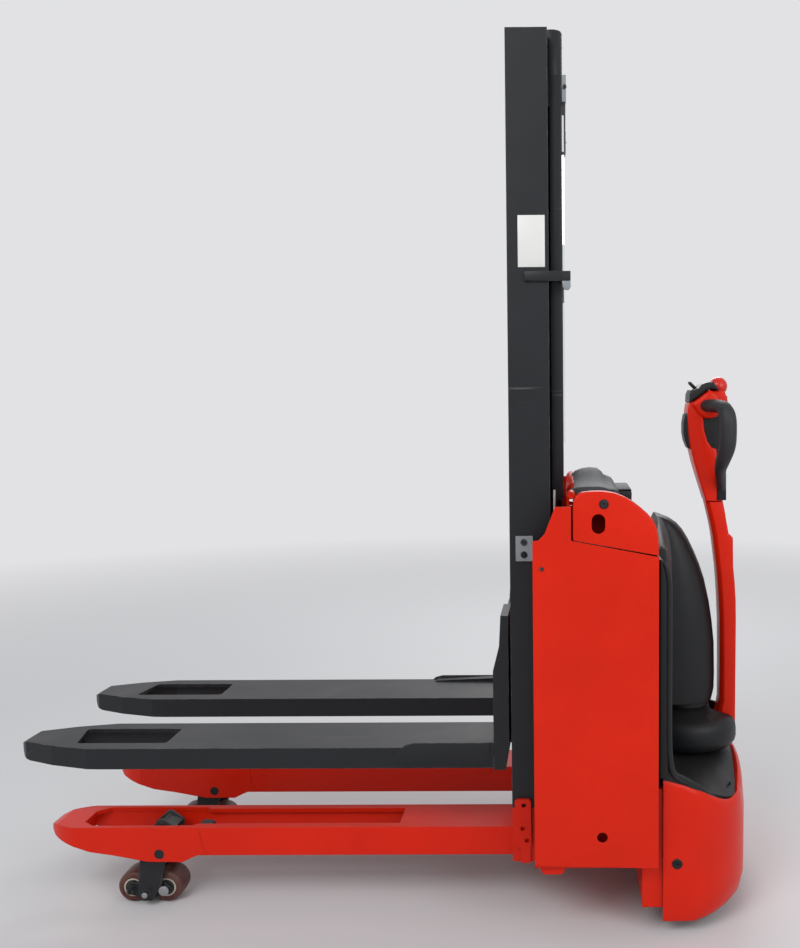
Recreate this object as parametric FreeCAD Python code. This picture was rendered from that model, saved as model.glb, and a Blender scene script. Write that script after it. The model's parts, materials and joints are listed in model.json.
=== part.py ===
"""Electric pedestrian stacker with initial lift, in millimetres.

Stations run along X from the fork heel, forward (towards the fork tips) is minus X.
Y is across, symmetric about the centre plane, and Z is up from the floor.
At the end every piece is shifted along X so that the origin is the centre of the footprint.
The load frame stands raised on its links, as it is parked.
"""
import FreeCAD
import Part
import math
import os

os.makedirs("parts", exist_ok=True)
V = FreeCAD.Vector

# Overall sizes
fork_length = 1150.0        # heel to tip
fork_spread = 560.0         # over the outer edges of both forks
fork_width = 180.0
fork_thickness = 50.0
fork_top = 408.0            # as parked
fork_skin = 9.0             # folded plate of a fork
drive_reach = 622.0         # heel to the rearmost point of the drive cover
body_width = 800.0
mast_top = 2044.0
mast_bottom = 265.0

# Clearances
running_gap = 0.05          # radial, shaft in its bore
slide_gap = 0.2             # roller in its channel, rod in its gland
moving_gap = 6.0            # between bodies that pass each other
seat_clearance = 0.3        # flat faces of two bodies that slide on each other

# Load arms
arm_width = 130.0
arm_top = 204.0
arm_depth = 69.0
arm_wall = 10.0
arm_tip = -1084.0
arm_root = 51.0
arm_belly = 115.0           # lowest point of the nose
slot_width = 86.0           # opening along the top of an arm
slot_start = -717.0
slot_end = -229.0
well_start = -999.0
well_width = 106.0

# Links, rockers and load rollers
link_pivot_x = -807.0
link_pivot_z = 137.4
bogie_x = -847.0
roller_radius = 38.0
roller_width = 62.0
roller_spacing = 82.0
bogie_z = roller_radius - 4.0
link_plate = 8.0
rocker_plate = 8.0
plate_gap = 3.0
link_side_gap = 4.0         # between a link's plate and the arm's wall
link_pin_radius = 12.0
axle_radius = 8.0

# Mast
mast_front = 46.0
mast_rear = 140.0
mast_outside = 290.0        # half width over the outer profiles
outer_web = 10.0
outer_flange = 10.0
outer_flange_depth = 50.0
inner_web = 9.0
inner_flange = 10.0
inner_flange_depth = 49.0
cross_depth = 60.0
bracket_front = 52.0          # bolting plates at the mast's foot
bracket_length = 39.0
bracket_bottom = 172.0
bracket_height = 116.0
bracket_plate = 10.0
bracket_toe = 37.0
bracket_corner = 7.0
bracket_hole = 5.5

# Lift cylinders and chains
cylinder_x = 149.0
cylinder_y = 212.0
cylinder_radius = 19.0
cylinder_bore = 13.0
rod_radius = 12.0
cylinder_drop = 154.0       # from the top of the mast down to a cylinder's end
cap_radius = 24.0
cap_height = 82.0
cap_drop = 7.0              # from the top of the mast down to the top of a rod's cap
pulley_radius = 26.0
pulley_width = 22.0
pulley_y = 120.0
chain_thickness = 8.0
chain_width = 16.0

# Carriage
carriage_front = 3.0
carriage_rear = 40.0
carriage_top = 722.0
carriage_bottom = 353.0
shank_width = 130.0
roller_plate = 14.0
guide_roller_width = 16.0

# Battery box, side panels and hood
box_front = 146.0
box_rear = 340.0
box_floor = 178.0
box_plate = 8.0
box_height = 690.0
panel_front = 102.0
panel_rear = 380.0
panel_bottom = 170.0
panel_plate = 4.0
panel_fold = 60.0
hood_wall = 5.0
hinge_x = 188.0
hinge_z = 1002.0
hinge_y = 225.0
hinge_width = 20.0
hinge_radius = 9.0
hinge_pin_radius = 5.0
seam_gap = 3.0

# Drive unit
steer_x = 488.0
frame_plate_x = 346.0
frame_plate = 10.0
deck_top = 292.0
deck_plate = 12.0
deck_half = 330.0
cover_front = 393.0
cover_wall = 5.0
corner_length = 172.0        # rounded rear corners of the cover, in plan
corner_width = 149.0
corner_fullness = 0.66
rear_bow = 27.0
rim_height = 356.0           # top rim at the cover's front edge
rim_fall = 0.21
tray_drop = 18.0             # shelf below the rim
cover_bottom = 30.0
cover_half_width = 374.0
shroud_front = 386.0
shroud_rear = 405.0
shroud_top = 880.0
cowl_core = 80.0            # half width of the cowl where the tiller swings past
cowl_half = 262.0           # half width beside the shroud
cowl_wing_rear = 442.0
drive_wheel_radius = 115.0
drive_wheel_width = 75.0
drive_hub_radius = 88.0
castor_y = 262.0
castor_x = 460.0
castor_wheel_radius = 62.5
castor_wheel_width = 50.0
castor_trail = 22.0
boss_radius = 123.0         # turret that turns with the tiller
boss_skirt = 104.0
boss_bottom = 343.0
boss_top = 428.0
motor_radius = 58.0
motor_top = 620.0

# Tiller
tiller_pin_x = 578.0
tiller_pin_z = 370.0
tiller_pin_radius = 10.0
tiller_half_width = 38.0
tiller_side_gap = 5.0
tiller_foot = 26.0          # radius of the arm's foot round its pin
head_half_width = 46.0
grip_radius = 17.0

# Worked out from the sizes above
shift = (fork_length - drive_reach) / 2
half_spread = fork_spread / 2
half_body = body_width / 2
fork_mid = half_spread - fork_width / 2
arm_mid = fork_mid            # an arm lies inside the fork above it
arm_bottom = arm_top - arm_depth
fork_nose = -fork_length + 220
pocket_tip = -fork_length + 116   # hollow under a fork, drawn in behind its nose
pocket_taper = 20.0
cylinder_top = mast_top - cylinder_drop
cap_top = mast_top - cap_drop
cap_bottom = cap_top - cap_height
tie_bottom = cylinder_top - 5.0
tie_top = cap_bottom - moving_gap - 1.0


def box(x0, x1, y0, y1, z0, z1):
    return Part.makeBox(x1 - x0, y1 - y0, z1 - z0, V(x0, y0, z0))


def rod(start, end, radius):
    """A round bar from one point to another."""
    a, b = V(*start), V(*end)
    return Part.makeCylinder(radius, (b - a).Length, a, b - a)


def face_of(points):
    return Part.Face(Part.makePolygon([V(*p) for p in points + points[:1]]))


def prism_xz(points, y0, y1):
    """A side outline of (x, z) points, drawn out across the machine."""
    return face_of([(x, y0, z) for x, z in points]).extrude(V(0, y1 - y0, 0))


def prism_xy(points, z0, z1):
    """A plan outline of (x, y) points, drawn out upwards."""
    return face_of([(x, y, z0) for x, y in points]).extrude(V(0, 0, z1 - z0))


def rounded(shape, direction, radius, near=None):
    """Round the straight edges that run along a direction, all of them or those that near() picks."""
    along = V(*direction)
    chosen = []
    for edge in shape.Edges:
        if edge.Curve.TypeId != "Part::GeomLine":
            continue
        if abs(abs(edge.Curve.Direction.dot(along)) - 1) > 1e-6:
            continue
        middle = edge.valueAt((edge.FirstParameter + edge.LastParameter) / 2)
        if near is None or near(middle):
            chosen.append(edge)
    return shape.makeFillet(radius, chosen)


def mirrored(shape):
    return shape.mirror(V(0, 0, 0), V(0, 1, 0))


def both_sides(shape):
    """The same piece on the left and on the right, as one node."""
    return Part.makeCompound([shape, mirrored(shape)])


def joined(shapes):
    result = shapes[0].multiFuse(shapes[1:])
    return result.removeSplitter()


made = {}


def save(name, shape):
    moved = shape.translated(V(shift, 0, 0))
    made[name] = moved
    moved.exportStep("parts/" + name + ".step")


def save_pair(name, right):
    """The right side has minus Y; the left one is its mirror image."""
    save(name + "_right", right)
    save(name + "_left", mirrored(right))


# Load arms

def nose_plan(length_to_tip, half, tip_half, centre):
    """Plan outline of an arm with its rounded nose."""
    start = length_to_tip + 120
    side = 12.0
    pts = lambda s: (V(start, centre + s * half, 0),
                     V(length_to_tip + 38, centre + s * (half - side), 0),
                     V(length_to_tip + 3, centre + s * tip_half, 0))
    low, high = pts(-1), pts(1)
    tip = V(length_to_tip, centre, 0)
    rear_low = V(arm_root, centre - half, 0)
    rear_high = V(arm_root, centre + half, 0)
    edges = [Part.LineSegment(rear_low, low[0]).toShape(),
             Part.Arc(*low).toShape(),
             Part.Arc(low[2], tip, high[2]).toShape(),
             Part.Arc(high[2], high[1], high[0]).toShape(),
             Part.LineSegment(high[0], rear_high).toShape(),
             Part.LineSegment(rear_high, rear_low).toShape()]
    return Part.Face(Part.Wire(edges))


def load_arm():
    """Channel, open below, with a roller well in its nose and a slot over the push rod."""
    y = -arm_mid
    half = arm_width / 2
    side = [(arm_root, arm_top), (arm_tip + 22, arm_top), (arm_tip + 4, arm_top - 6),
            (arm_tip, arm_top - 16), (arm_tip + 14, arm_top - 30), (arm_tip + 71, arm_top - 47),
            (arm_tip + 108, arm_top - 60), (arm_tip + 167, arm_top - 69), (arm_tip + 250, arm_belly + 4),
            (arm_tip + 333, arm_belly + 3), (arm_tip + 353, arm_belly + 13), (slot_start + 3, arm_bottom),
            (arm_root, arm_bottom)]
    body = prism_xz(side, y - half, y + half)
    plan = nose_plan(arm_tip, half, 24.0, y)
    body = body.common(plan.extrude(V(0, 0, arm_top + 10)))
    inside = half - arm_wall
    hollow = box(arm_tip + 70, arm_root - arm_wall, y - inside, y + inside, 0, arm_top - arm_wall)
    body = body.cut(hollow)
    well = prism_xy([(well_start, y - 30), (well_start + 28, y - well_width / 2),
                     (slot_start - 14, y - well_width / 2), (slot_start, y - slot_width / 2),
                     (slot_end, y - slot_width / 2), (slot_end, y + slot_width / 2),
                     (slot_start, y + slot_width / 2), (slot_start - 14, y + well_width / 2),
                     (well_start + 28, y + well_width / 2), (well_start, y + 30)],
                    arm_top - 2 * arm_wall, arm_top + 1)
    body = body.cut(well)
    bore = rod((link_pivot_x, y - half - 1, link_pivot_z), (link_pivot_x, y + half + 1, link_pivot_z),
               link_pin_radius + running_gap)
    return body.cut(bore)


def push_rod():
    """Rod that pushes the link, seen through the slot; it lies on the end wall of the channel."""
    y = -arm_mid
    z = arm_top - arm_wall - 22
    bar = rod((arm_root - arm_wall, y, z), (link_pivot_x + 100, y, z), 11.0)
    eye = box(link_pivot_x + 72, link_pivot_x + 110, y - 18, y + 18, z - 16, z + 16)
    eye = rounded(eye, (0, 1, 0), 12.0)
    return joined([bar, eye])


save_pair("load_arm", load_arm())
save_pair("push_rod", push_rod())


# Links, rockers and load rollers

def link():
    """Forked link from the arm's pin down to the bogie pin, with its lever above."""
    y = -arm_mid
    inside = arm_width / 2 - arm_wall
    outer = inside - link_side_gap
    plates = []
    top = V(link_pivot_x, 0, link_pivot_z)
    low = V(bogie_x, 0, bogie_z)
    for s in (-1, 1):
        y0 = y + s * outer
        y1 = y + s * (outer - link_plate)
        lo, hi = min(y0, y1), max(y0, y1)
        plate = prism_xz([(top.x - 52, top.z - 6), (top.x + 12, top.z + 18), (top.x + 22, top.z - 2),
                          (top.x + 3, top.z - 40), (low.x + 36, low.z + 20), (low.x + 14, low.z - 20),
                          (low.x - 10, low.z - 20), (low.x - 20, low.z + 4)], lo, hi)
        plates.append(rounded(plate, (0, 1, 0), 6.0))
    web = box(top.x - 20, top.x + 10, y - outer + 1, y + outer - 1, top.z - 16, top.z + 16)
    pin = rod((top.x, y - arm_width / 2 + 1, top.z), (top.x, y + arm_width / 2 - 1, top.z), link_pin_radius)
    lever = prism_xz([(top.x - 36, top.z + 2), (top.x - 4, arm_top - 2), (top.x + 26, arm_top - 16),
                      (top.x + 8, top.z)], y - 20, y + 20)
    body = joined(plates + [web, pin, lever])
    hole = rod((low.x, y - half_spread, low.z), (low.x, y + half_spread, low.z), axle_radius + running_gap)
    return body.cut(hole)


def rocker():
    """Two plates, each on its stub pin in the link; they carry both roller axles."""
    y = -arm_mid
    outer = arm_width / 2 - arm_wall - link_side_gap - link_plate - plate_gap
    half = roller_spacing / 2
    plates = []
    for s in (-1, 1):
        y0 = y + s * outer
        y1 = y + s * (outer - rocker_plate)
        lo, hi = min(y0, y1), max(y0, y1)
        plate = prism_xz([(bogie_x - half - 15, roller_radius + 4), (bogie_x - half, roller_radius + 16),
                          (bogie_x + half, roller_radius + 16), (bogie_x + half + 15, roller_radius + 4),
                          (bogie_x + half + 12, roller_radius - 12), (bogie_x + 12, bogie_z - 17),
                          (bogie_x - 12, bogie_z - 17), (bogie_x - half - 12, roller_radius - 12)], lo, hi)
        plates.append(rounded(plate, (0, 1, 0), 7.0))
    reach = arm_width / 2 - arm_wall - link_side_gap
    pins = [rod((bogie_x, y + s * reach, bogie_z), (bogie_x, y + s * (outer - rocker_plate), bogie_z),
                axle_radius) for s in (-1, 1)]
    axles = [rod((bogie_x + s * half, y - outer - 2, roller_radius),
                 (bogie_x + s * half, y + outer + 2, roller_radius), axle_radius) for s in (-1, 1)]
    return joined(plates + pins + axles)


def load_roller(side):
    """Tread on its hub, bored for the axle; the tread's shoulders are rounded."""
    y = -arm_mid
    x = bogie_x + side * roller_spacing / 2
    half = roller_width / 2
    body = rod((x, y - half, roller_radius), (x, y + half, roller_radius), roller_radius)
    body = body.makeFillet(5.0, [e for e in body.Edges if e.Curve.TypeId == "Part::GeomCircle"])
    bore = rod((x, y - half - 1, roller_radius), (x, y + half + 1, roller_radius), axle_radius + running_gap)
    return body.cut(bore)


save_pair("bogie_link", link())
save_pair("bogie_rocker", rocker())
save_pair("load_roller_front", load_roller(-1))
save_pair("load_roller_rear", load_roller(1))


# Chassis: the box that joins arms, mast and battery

def side_bracket():
    """Bolting plate at the foot of the mast, with three holes and a stepped toe."""
    face = -mast_outside - bracket_plate
    back = -mast_outside
    x0, x1 = bracket_front, bracket_front + bracket_length
    top = bracket_bottom + bracket_height
    plate = box(x0, x1, face, back, bracket_bottom, top)
    plate = rounded(plate, (0, 1, 0), bracket_corner)
    toe = box(x0 + 14, x1 - 2, face, back, bracket_bottom - bracket_toe, bracket_bottom + 1)
    plate = joined([plate, toe])
    for x, z in ((x0 + 22, top - 14), (x0 + 19, bracket_bottom + 46), (x0 + 29, bracket_bottom + 17)):
        plate = plate.cut(rod((x, face - 1, z), (x, back, z), bracket_hole))
    return plate


def chassis():
    """Cross box under the mast, mast feet and the tray under the battery."""
    cross = box(mast_front, mast_rear, -mast_outside, mast_outside, arm_bottom, mast_bottom)
    cross = cross.cut(box(mast_front + 8, mast_rear - 8, -mast_outside + 8, mast_outside - 8,
                          arm_bottom - 1, mast_bottom - 10))
    for s in (-1, 1):
        lo, hi = sorted((s * (arm_mid - arm_width / 2 - 1), s * (arm_mid + arm_width / 2 + 1)))
        cross = cross.cut(box(mast_front - 1, arm_root, lo, hi, arm_bottom - 1, arm_top + 1))
    floor = box(mast_rear, box_rear, -half_body + panel_plate, half_body - panel_plate,
                panel_bottom, panel_bottom + box_plate)
    bracket = side_bracket()
    pieces = [cross, floor]
    for s in (-1, 1):
        lo, hi = sorted((s * mast_outside, s * (half_body - panel_plate)))
        pieces.append(box(panel_front, mast_rear + 1, lo, hi, panel_bottom, panel_bottom + box_plate))
    return joined(pieces + [bracket, mirrored(bracket)])


def battery_box():
    """Upright walls round the battery, behind the mast."""
    half = half_body - 40
    z0 = panel_bottom + box_plate
    z1 = z0 + box_height
    outer = box(mast_rear + 40, box_rear, -half, half, z0, z1)
    inner = box(mast_rear + 40 + box_plate, box_rear - box_plate, -half + box_plate, half - box_plate,
                z0 + box_plate, z1 + 1)
    pieces = [outer.cut(inner)]
    for s in (-1, 1):
        lo, hi = sorted((s * hinge_y, s * (hinge_y + hinge_width)))
        end = s * (hinge_y + 2.5 * hinge_width)
        pieces.append(box(mast_rear + 38, mast_rear + 44, lo, hi, z1 - 40, hinge_z))
        pieces.append(rod((hinge_x, lo, hinge_z), (hinge_x, hi, hinge_z), hinge_radius))
        pieces.append(rod((hinge_x, s * hinge_y, hinge_z), (hinge_x, end, hinge_z), hinge_pin_radius))
    return joined(pieces)


def battery():
    half = half_body - 40 - box_plate - 6
    z0 = panel_bottom + 2 * box_plate
    block = box(mast_rear + 40 + box_plate + 4, box_rear - box_plate - 4, -half, half, z0, z0 + 627)
    return rounded(block, (0, 0, 1), 6.0)


def lift_guides():
    """Two upright strips on which the drive unit's plate slides."""
    right = box(box_rear, frame_plate_x - seat_clearance, -330, -290, 200, 790)
    return both_sides(right)


save("lift_guides", lift_guides())
save("chassis_frame", chassis())
save("battery_box", battery_box())
save("battery", battery())


# Side panels and hood

panel_outline = [(panel_front, panel_bottom + 6), (panel_front, 915), (115, 916), (129, 931), (152, 990),
                 (190 - seam_gap, 990), (190 - seam_gap, 915), (380, 878), (panel_rear, panel_bottom)]
hood_outline = [(194, 1000), (206, 1018), (266, 1021), (302, 1014), (330, 998), (362, 974), (378, 945),
                (380, 881), (190, 918)]


def side_panel():
    """Red sheet with folded front edge, seated on the end of the chassis floor."""
    y0 = -half_body
    sheet = prism_xz(panel_outline, y0, y0 + panel_plate)
    sheet = rounded(sheet, (0, 1, 0), 4.0, lambda p: p.x < 150)
    fold = box(panel_front, panel_front + panel_plate, y0, y0 + panel_fold, panel_bottom + 20, 900)
    rib = box(186, 196, y0 + panel_plate, y0 + 40, 820, 905)
    hole = rod((254, y0 - 1, 242), (254, y0 + panel_plate + 1, 242), 12.0)
    return joined([sheet, fold, rib]).cut(hole)


def hood():
    """Lid over the battery, with a cheek and a grip slot at each side."""
    outer = prism_xz(hood_outline, -half_body, half_body)
    outer = rounded(outer, (0, 1, 0), 10.0, lambda p: p.x > 193 and p.z > 940)
    inner = prism_xz([(199, 910), (199, 998), (209, 1012), (265, 1015), (299, 1008), (326, 993), (357, 970),
                      (372, 942), (374, 870)],
                     -half_body + hood_wall, half_body - hood_wall)
    shell = outer.cut(inner)
    for z in (945, 959):
        shell = shell.cut(rod((247, -half_body - 1, z), (247, half_body + 1, z), 15.0))
    shell = shell.cut(box(232, 262, -half_body - 1, half_body + 1, 945, 959))
    for s in (-1, 1):
        start = s * (hinge_y + hinge_width + 1)
        end = s * (hinge_y + 2.5 * hinge_width)
        shell = shell.fuse(rod((hinge_x, start, hinge_z), (hinge_x, end, hinge_z), hinge_radius))
        shell = shell.cut(rod((hinge_x, start, hinge_z), (hinge_x, end + s, hinge_z),
                              hinge_pin_radius + running_gap))
        shell = shell.cut(rod((hinge_x, s * (hinge_y - 3), hinge_z), (hinge_x, start, hinge_z),
                              hinge_radius + moving_gap))
    return shell.removeSplitter()


def hood_console():
    """Moulded centre console on the hood."""
    outline = [(180, 1003), (180, 1034), (190, 1048), (218, 1054), (261, 1055), (270, 1044), (295, 1028),
               (324, 1018), (337, 1008), (339, 1000), (339, 991.8), (330, 998.4), (302, 1014.4), (266, 1021.4),
               (206, 1018.4), (194, 1003)]
    return prism_xz(outline, -170, 170)


save_pair("side_panel", side_panel())
save("hood", hood())
save("hood_console", hood_console())


# Mast

def channel(x0, x1, outside, web, flange, depth, z0, z1):
    """Right-hand channel, its web outside and its flanges pointing at the centre plane."""
    back = box(x0, x1, -outside, -outside + web, z0, z1)
    front_flange = box(x0, x0 + flange, -outside, -outside + depth, z0, z1)
    rear_flange = box(x1 - flange, x1, -outside, -outside + depth, z0, z1)
    return joined([back, front_flange, rear_flange])


inner_front = mast_front + outer_flange + moving_gap
inner_rear = mast_rear - outer_flange - moving_gap
inner_outside = mast_outside - outer_web - moving_gap
inner_bottom = mast_bottom + 8.0
cross_half = inner_outside - inner_flange_depth
pulley_x = inner_rear - inner_flange - 4 - pulley_radius
pulley_z = mast_top - 48.0
screen_top = cylinder_top - 10.0
screen_bottom = screen_top - 760.0
tie_bar_bottom = mast_top - 575.0
tie_bar_top = tie_bar_bottom + 43.0


def outer_mast():
    """Two channels on the chassis, tied behind the inner mast."""
    right = channel(mast_front, mast_rear, mast_outside, outer_web, outer_flange, outer_flange_depth,
                    mast_bottom, mast_top)
    tie_x = cylinder_x + cylinder_radius + 4
    tie_y = mast_outside - outer_flange_depth + 10
    tie = box(tie_x, tie_x + 8, -tie_y, tie_y, tie_bottom, tie_top)
    arm = box(mast_rear - 1, tie_x + 8, -tie_y, -tie_y + 10, tie_bottom, tie_top)
    foot = box(mast_front, mast_rear, -mast_outside, -mast_outside + outer_flange_depth,
               mast_bottom, inner_bottom)
    return joined([right, mirrored(right), tie, arm, mirrored(arm), foot, mirrored(foot)])


def inner_mast():
    """Two channels inside the outer ones, with cross members above and below."""
    right = channel(inner_front, inner_rear, inner_outside, inner_web, inner_flange, inner_flange_depth,
                    inner_bottom, mast_top - 2)
    pieces = [right, mirrored(right)]
    for z0, z1 in ((inner_bottom, inner_bottom + cross_depth), (mast_top - cross_depth, mast_top - 2)):
        pieces.append(box(inner_rear - inner_flange, inner_rear, -cross_half - 2, cross_half + 2, z0, z1))
    for s in (-1, 1):
        lo, hi = sorted((s * (pulley_y - pulley_width / 2 - 9), s * (pulley_y - pulley_width / 2 - 2)))
        pieces.append(box(inner_front + 14, inner_rear - inner_flange + 1, lo, hi, pulley_z - 36, pulley_z + 44))
    return joined(pieces)


def chain_pulleys():
    """Grooved wheels on pins beside the inner mast's top lugs."""
    y0 = -pulley_y - pulley_width / 2
    y1 = -pulley_y + pulley_width / 2
    wheel = rod((pulley_x, y0, pulley_z), (pulley_x, y1, pulley_z), pulley_radius)
    groove = rod((pulley_x, y0 + 3, pulley_z), (pulley_x, y1 - 3, pulley_z), pulley_radius + 1)
    core = rod((pulley_x, y0, pulley_z), (pulley_x, y1, pulley_z), pulley_radius - chain_thickness)
    pin = rod((pulley_x, y0, pulley_z), (pulley_x, y1 + 2, pulley_z), 8.0)
    return both_sides(joined([wheel.cut(groove), core, pin]))


save("outer_mast", outer_mast())
save("inner_mast", inner_mast())
save("chain_pulleys", chain_pulleys())


def lift_cylinders():
    """Two bored tubes standing on the chassis behind the inner mast."""
    def tube(y):
        body = rod((cylinder_x, y, mast_bottom), (cylinder_x, y, cylinder_top), cylinder_radius)
        bore = rod((cylinder_x, y, mast_bottom + 20), (cylinder_x, y, cylinder_top - 30), cylinder_bore)
        gland = rod((cylinder_x, y, mast_bottom + 20), (cylinder_x, y, cylinder_top + 1),
                    rod_radius + running_gap)
        return body.cut(bore).cut(gland)
    return Part.makeCompound([tube(-cylinder_y), tube(cylinder_y)])


def lift_rods():
    """Ground rods, up to the underside of their caps."""
    return both_sides(rod((cylinder_x, -cylinder_y, mast_bottom + 60), (cylinder_x, -cylinder_y, cap_bottom),
                          rod_radius))


def rod_caps():
    """Cap on each rod, with the bridge that ties it to the inner mast."""
    cap = rod((cylinder_x, -cylinder_y, cap_bottom), (cylinder_x, -cylinder_y, cap_top), cap_radius)
    bridge = box(inner_rear, cylinder_x, -cylinder_y - 14, -cylinder_y + 14, cap_bottom + 12, cap_top - 10)
    return both_sides(joined([cap, bridge]))


def tie_bar():
    """Bar round the back of the mast, at about three quarters of its height."""
    z0, z1 = tie_bar_bottom, tie_bar_top
    back = box(190 - 14, 190, -mast_outside - 8, mast_outside + 8, z0, z1)
    pieces = [back]
    for s in (-1, 1):
        lo, hi = sorted((s * mast_outside, s * (mast_outside + 8)))
        pieces.append(box(85, 190, lo, hi, z0, z1))
    bar = joined(pieces)
    return rounded(bar, (0, 0, 1), 6.0, lambda p: p.x > 185)


def mast_screen():
    """Clear guard between the mast and the driver, held by the tie bar."""
    return box(170, 176, -190, 190, screen_bottom, screen_top)


def mast_brackets():
    """Pads that bolt the mast to the side panels' corners."""
    pad = box(60, 100, -mast_outside - 6, -mast_outside, 853, 911)
    arm = box(96, panel_front + panel_plate, -half_body + panel_fold, -mast_outside - 5, 862, 900)
    return both_sides(joined([pad, arm]))


save("lift_cylinders", lift_cylinders())
save("lift_rods", lift_rods())
save("rod_caps", rod_caps())
save("mast_tie_bar", tie_bar())
save("mast_screen", mast_screen())
save("mast_brackets", mast_brackets())


# Carriage and forks

def carriage():
    """Two shanks tied by bars, with plates that carry the guide rollers inside the mast."""
    side = [(carriage_rear, carriage_top), (22, carriage_top), (18, 650), (carriage_front, 590),
            (carriage_front, carriage_bottom), (31, carriage_bottom), (carriage_rear, 400)]
    shank = prism_xz(side, -half_spread, -half_spread + shank_width)
    pieces = [shank, mirrored(shank)]
    for z0, z1 in ((carriage_bottom + 20, carriage_bottom + 90), (carriage_top - 130, carriage_top - 50)):
        pieces.append(box(18, carriage_rear, -half_spread + shank_width - 1, half_spread - shank_width + 1,
                          z0, z1))
    plate_out = cross_half - 8
    plate = box(18, inner_rear - 16, -plate_out, -plate_out + roller_plate, carriage_bottom + 50,
                carriage_top - 60)
    pieces += [plate, mirrored(plate)]
    track = inner_rear - inner_front - 2 * inner_flange
    radius = track / 2 - slide_gap
    middle = (inner_front + inner_rear) / 2
    reach = inner_outside - inner_web - 3
    for z in (carriage_bottom + 85, carriage_top - 100):
        wheel = rod((middle, -reach, z), (middle, -reach + guide_roller_width, z), radius)
        stub = rod((middle, -reach + 1, z), (middle, -plate_out + 1, z), 10.0)
        pieces += [wheel, stub, mirrored(wheel), mirrored(stub)]
    for s in (-1, 1):
        lo, hi = sorted((s * (pulley_y - 26), s * (pulley_y + 26)))
        lug = box(carriage_rear - 1, carriage_rear + 44, lo, hi, carriage_top - 110, carriage_top - 90)
        pieces.append(lug)
    body = joined(pieces)
    for s in (-1, 1):
        slot = box(chain_x - 10, chain_x + chain_thickness + 10, s * pulley_y - 14, s * pulley_y + 14,
                   carriage_top - 200, carriage_top)
        body = body.cut(slot)
    return body


chain_x = pulley_x - pulley_radius


def lift_chains():
    """Front runs of the two chains, from the pulleys down to the carriage lugs."""
    run = box(chain_x, chain_x + chain_thickness, -pulley_y - chain_width / 2, -pulley_y + chain_width / 2,
              carriage_top - 112, pulley_z)
    return both_sides(run)


def fork():
    """Folded plate fork, open below, with a window behind its nose and a forged heel piece."""
    y = -fork_mid
    half = fork_width / 2
    z1 = fork_top
    z0 = fork_top - fork_thickness
    side = [(carriage_front, z1), (-fork_length + 20, z1), (-fork_length + 3, z1 - 9),
            (-fork_length, z1 - 22), (-fork_length + 8, z1 - 40), (-fork_length + 30, z1 - 46),
            (fork_nose, z0), (carriage_front, z0)]
    body = prism_xz(side, y - half, y + half)
    tip_half = 22.0
    waist = -fork_length + 98
    shoulder = -fork_length + 18
    plan = prism_xy([(carriage_front, y - half), (fork_nose - 30, y - half), (waist, y - half + 22),
                     (shoulder, y - tip_half - 14), (-fork_length, y - tip_half + 8),
                     (-fork_length, y + tip_half - 8), (shoulder, y + tip_half + 14),
                     (waist, y + half - 22), (fork_nose - 30, y + half), (carriage_front, y + half)],
                    z0 - 1, z1 + 1)
    plan = rounded(plan, (0, 0, 1), 14.0, lambda p: p.x < fork_nose)
    body = body.common(plan)
    inside = half - fork_skin
    inner = prism_xy([(-30, y - inside), (fork_nose - 30, y - inside), (pocket_tip, y - inside + pocket_taper),
                      (pocket_tip, y + inside - pocket_taper), (fork_nose - 30, y + inside), (-30, y + inside)],
                     z0 - 1, z1 - fork_skin)
    body = body.cut(inner)
    window_front = -fork_length + 130
    window_rear = -fork_length + 366
    window = prism_xy([(window_front, y + 50), (window_front + 20, y - 52), (window_rear, y - 52),
                       (window_rear, y + 50)], z1 - 2 * fork_skin, z1 + 1)
    window = rounded(window, (0, 0, 1), 10.0)
    body = body.cut(window)
    ridge = prism_xz([(-212, z1 - 2), (-196, z1 + 4), (-40, z1 + 10), (carriage_front, z1 + 12),
                      (carriage_front, z1 - 2)], y - half, y - half + 26)
    return joined([body, ridge])


save("carriage", carriage())
save("lift_chains", lift_chains())
save_pair("fork", fork())


# Drive unit frame, cover and trim

def d_plan(x0, half, rear, z0, z1):
    """Plan outline of the drive cover: straight sides, rounded corners and a bowed rear."""
    corner_x = rear - corner_length
    bow_x = rear - rear_bow
    bow_y = half - corner_width
    mid_x = corner_x + corner_fullness * (bow_x - corner_x)
    mid_y = bow_y + corner_fullness * corner_width
    edges = [Part.LineSegment(V(x0, half, z0), V(x0, -half, z0)).toShape(),
             Part.LineSegment(V(x0, -half, z0), V(corner_x, -half, z0)).toShape(),
             Part.Arc(V(corner_x, -half, z0), V(mid_x, -mid_y, z0), V(bow_x, -bow_y, z0)).toShape(),
             Part.Arc(V(bow_x, -bow_y, z0), V(rear, 0, z0), V(bow_x, bow_y, z0)).toShape(),
             Part.Arc(V(bow_x, bow_y, z0), V(mid_x, mid_y, z0), V(corner_x, half, z0)).toShape(),
             Part.LineSegment(V(corner_x, half, z0), V(x0, half, z0)).toShape()]
    return Part.Face(Part.Wire(edges)).extrude(V(0, 0, z1 - z0))


def rim_line(x):
    """Height of the cover's top rim at a station."""
    return rim_height - (x - cover_front) * rim_fall


def cover_solid(inset, z0, z1):
    """The D-shaped body, its rear face bulging at half height and turned in below."""
    plan = d_plan(cover_front, cover_half_width - inset, drive_reach - inset, z0, z1)
    rear = drive_reach - inset
    side = [(cover_front, z0), (rear - 34, z0), (rear - 24, cover_bottom + 8), (rear - 8, cover_bottom + 24),
            (rear, cover_bottom + 60), (rear, cover_bottom + 190), (rear - 9, rim_line(drive_reach)),
            (rear - 9, z1), (cover_front, z1)]
    return plan.common(prism_xz(side, -half_body, half_body))


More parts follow.
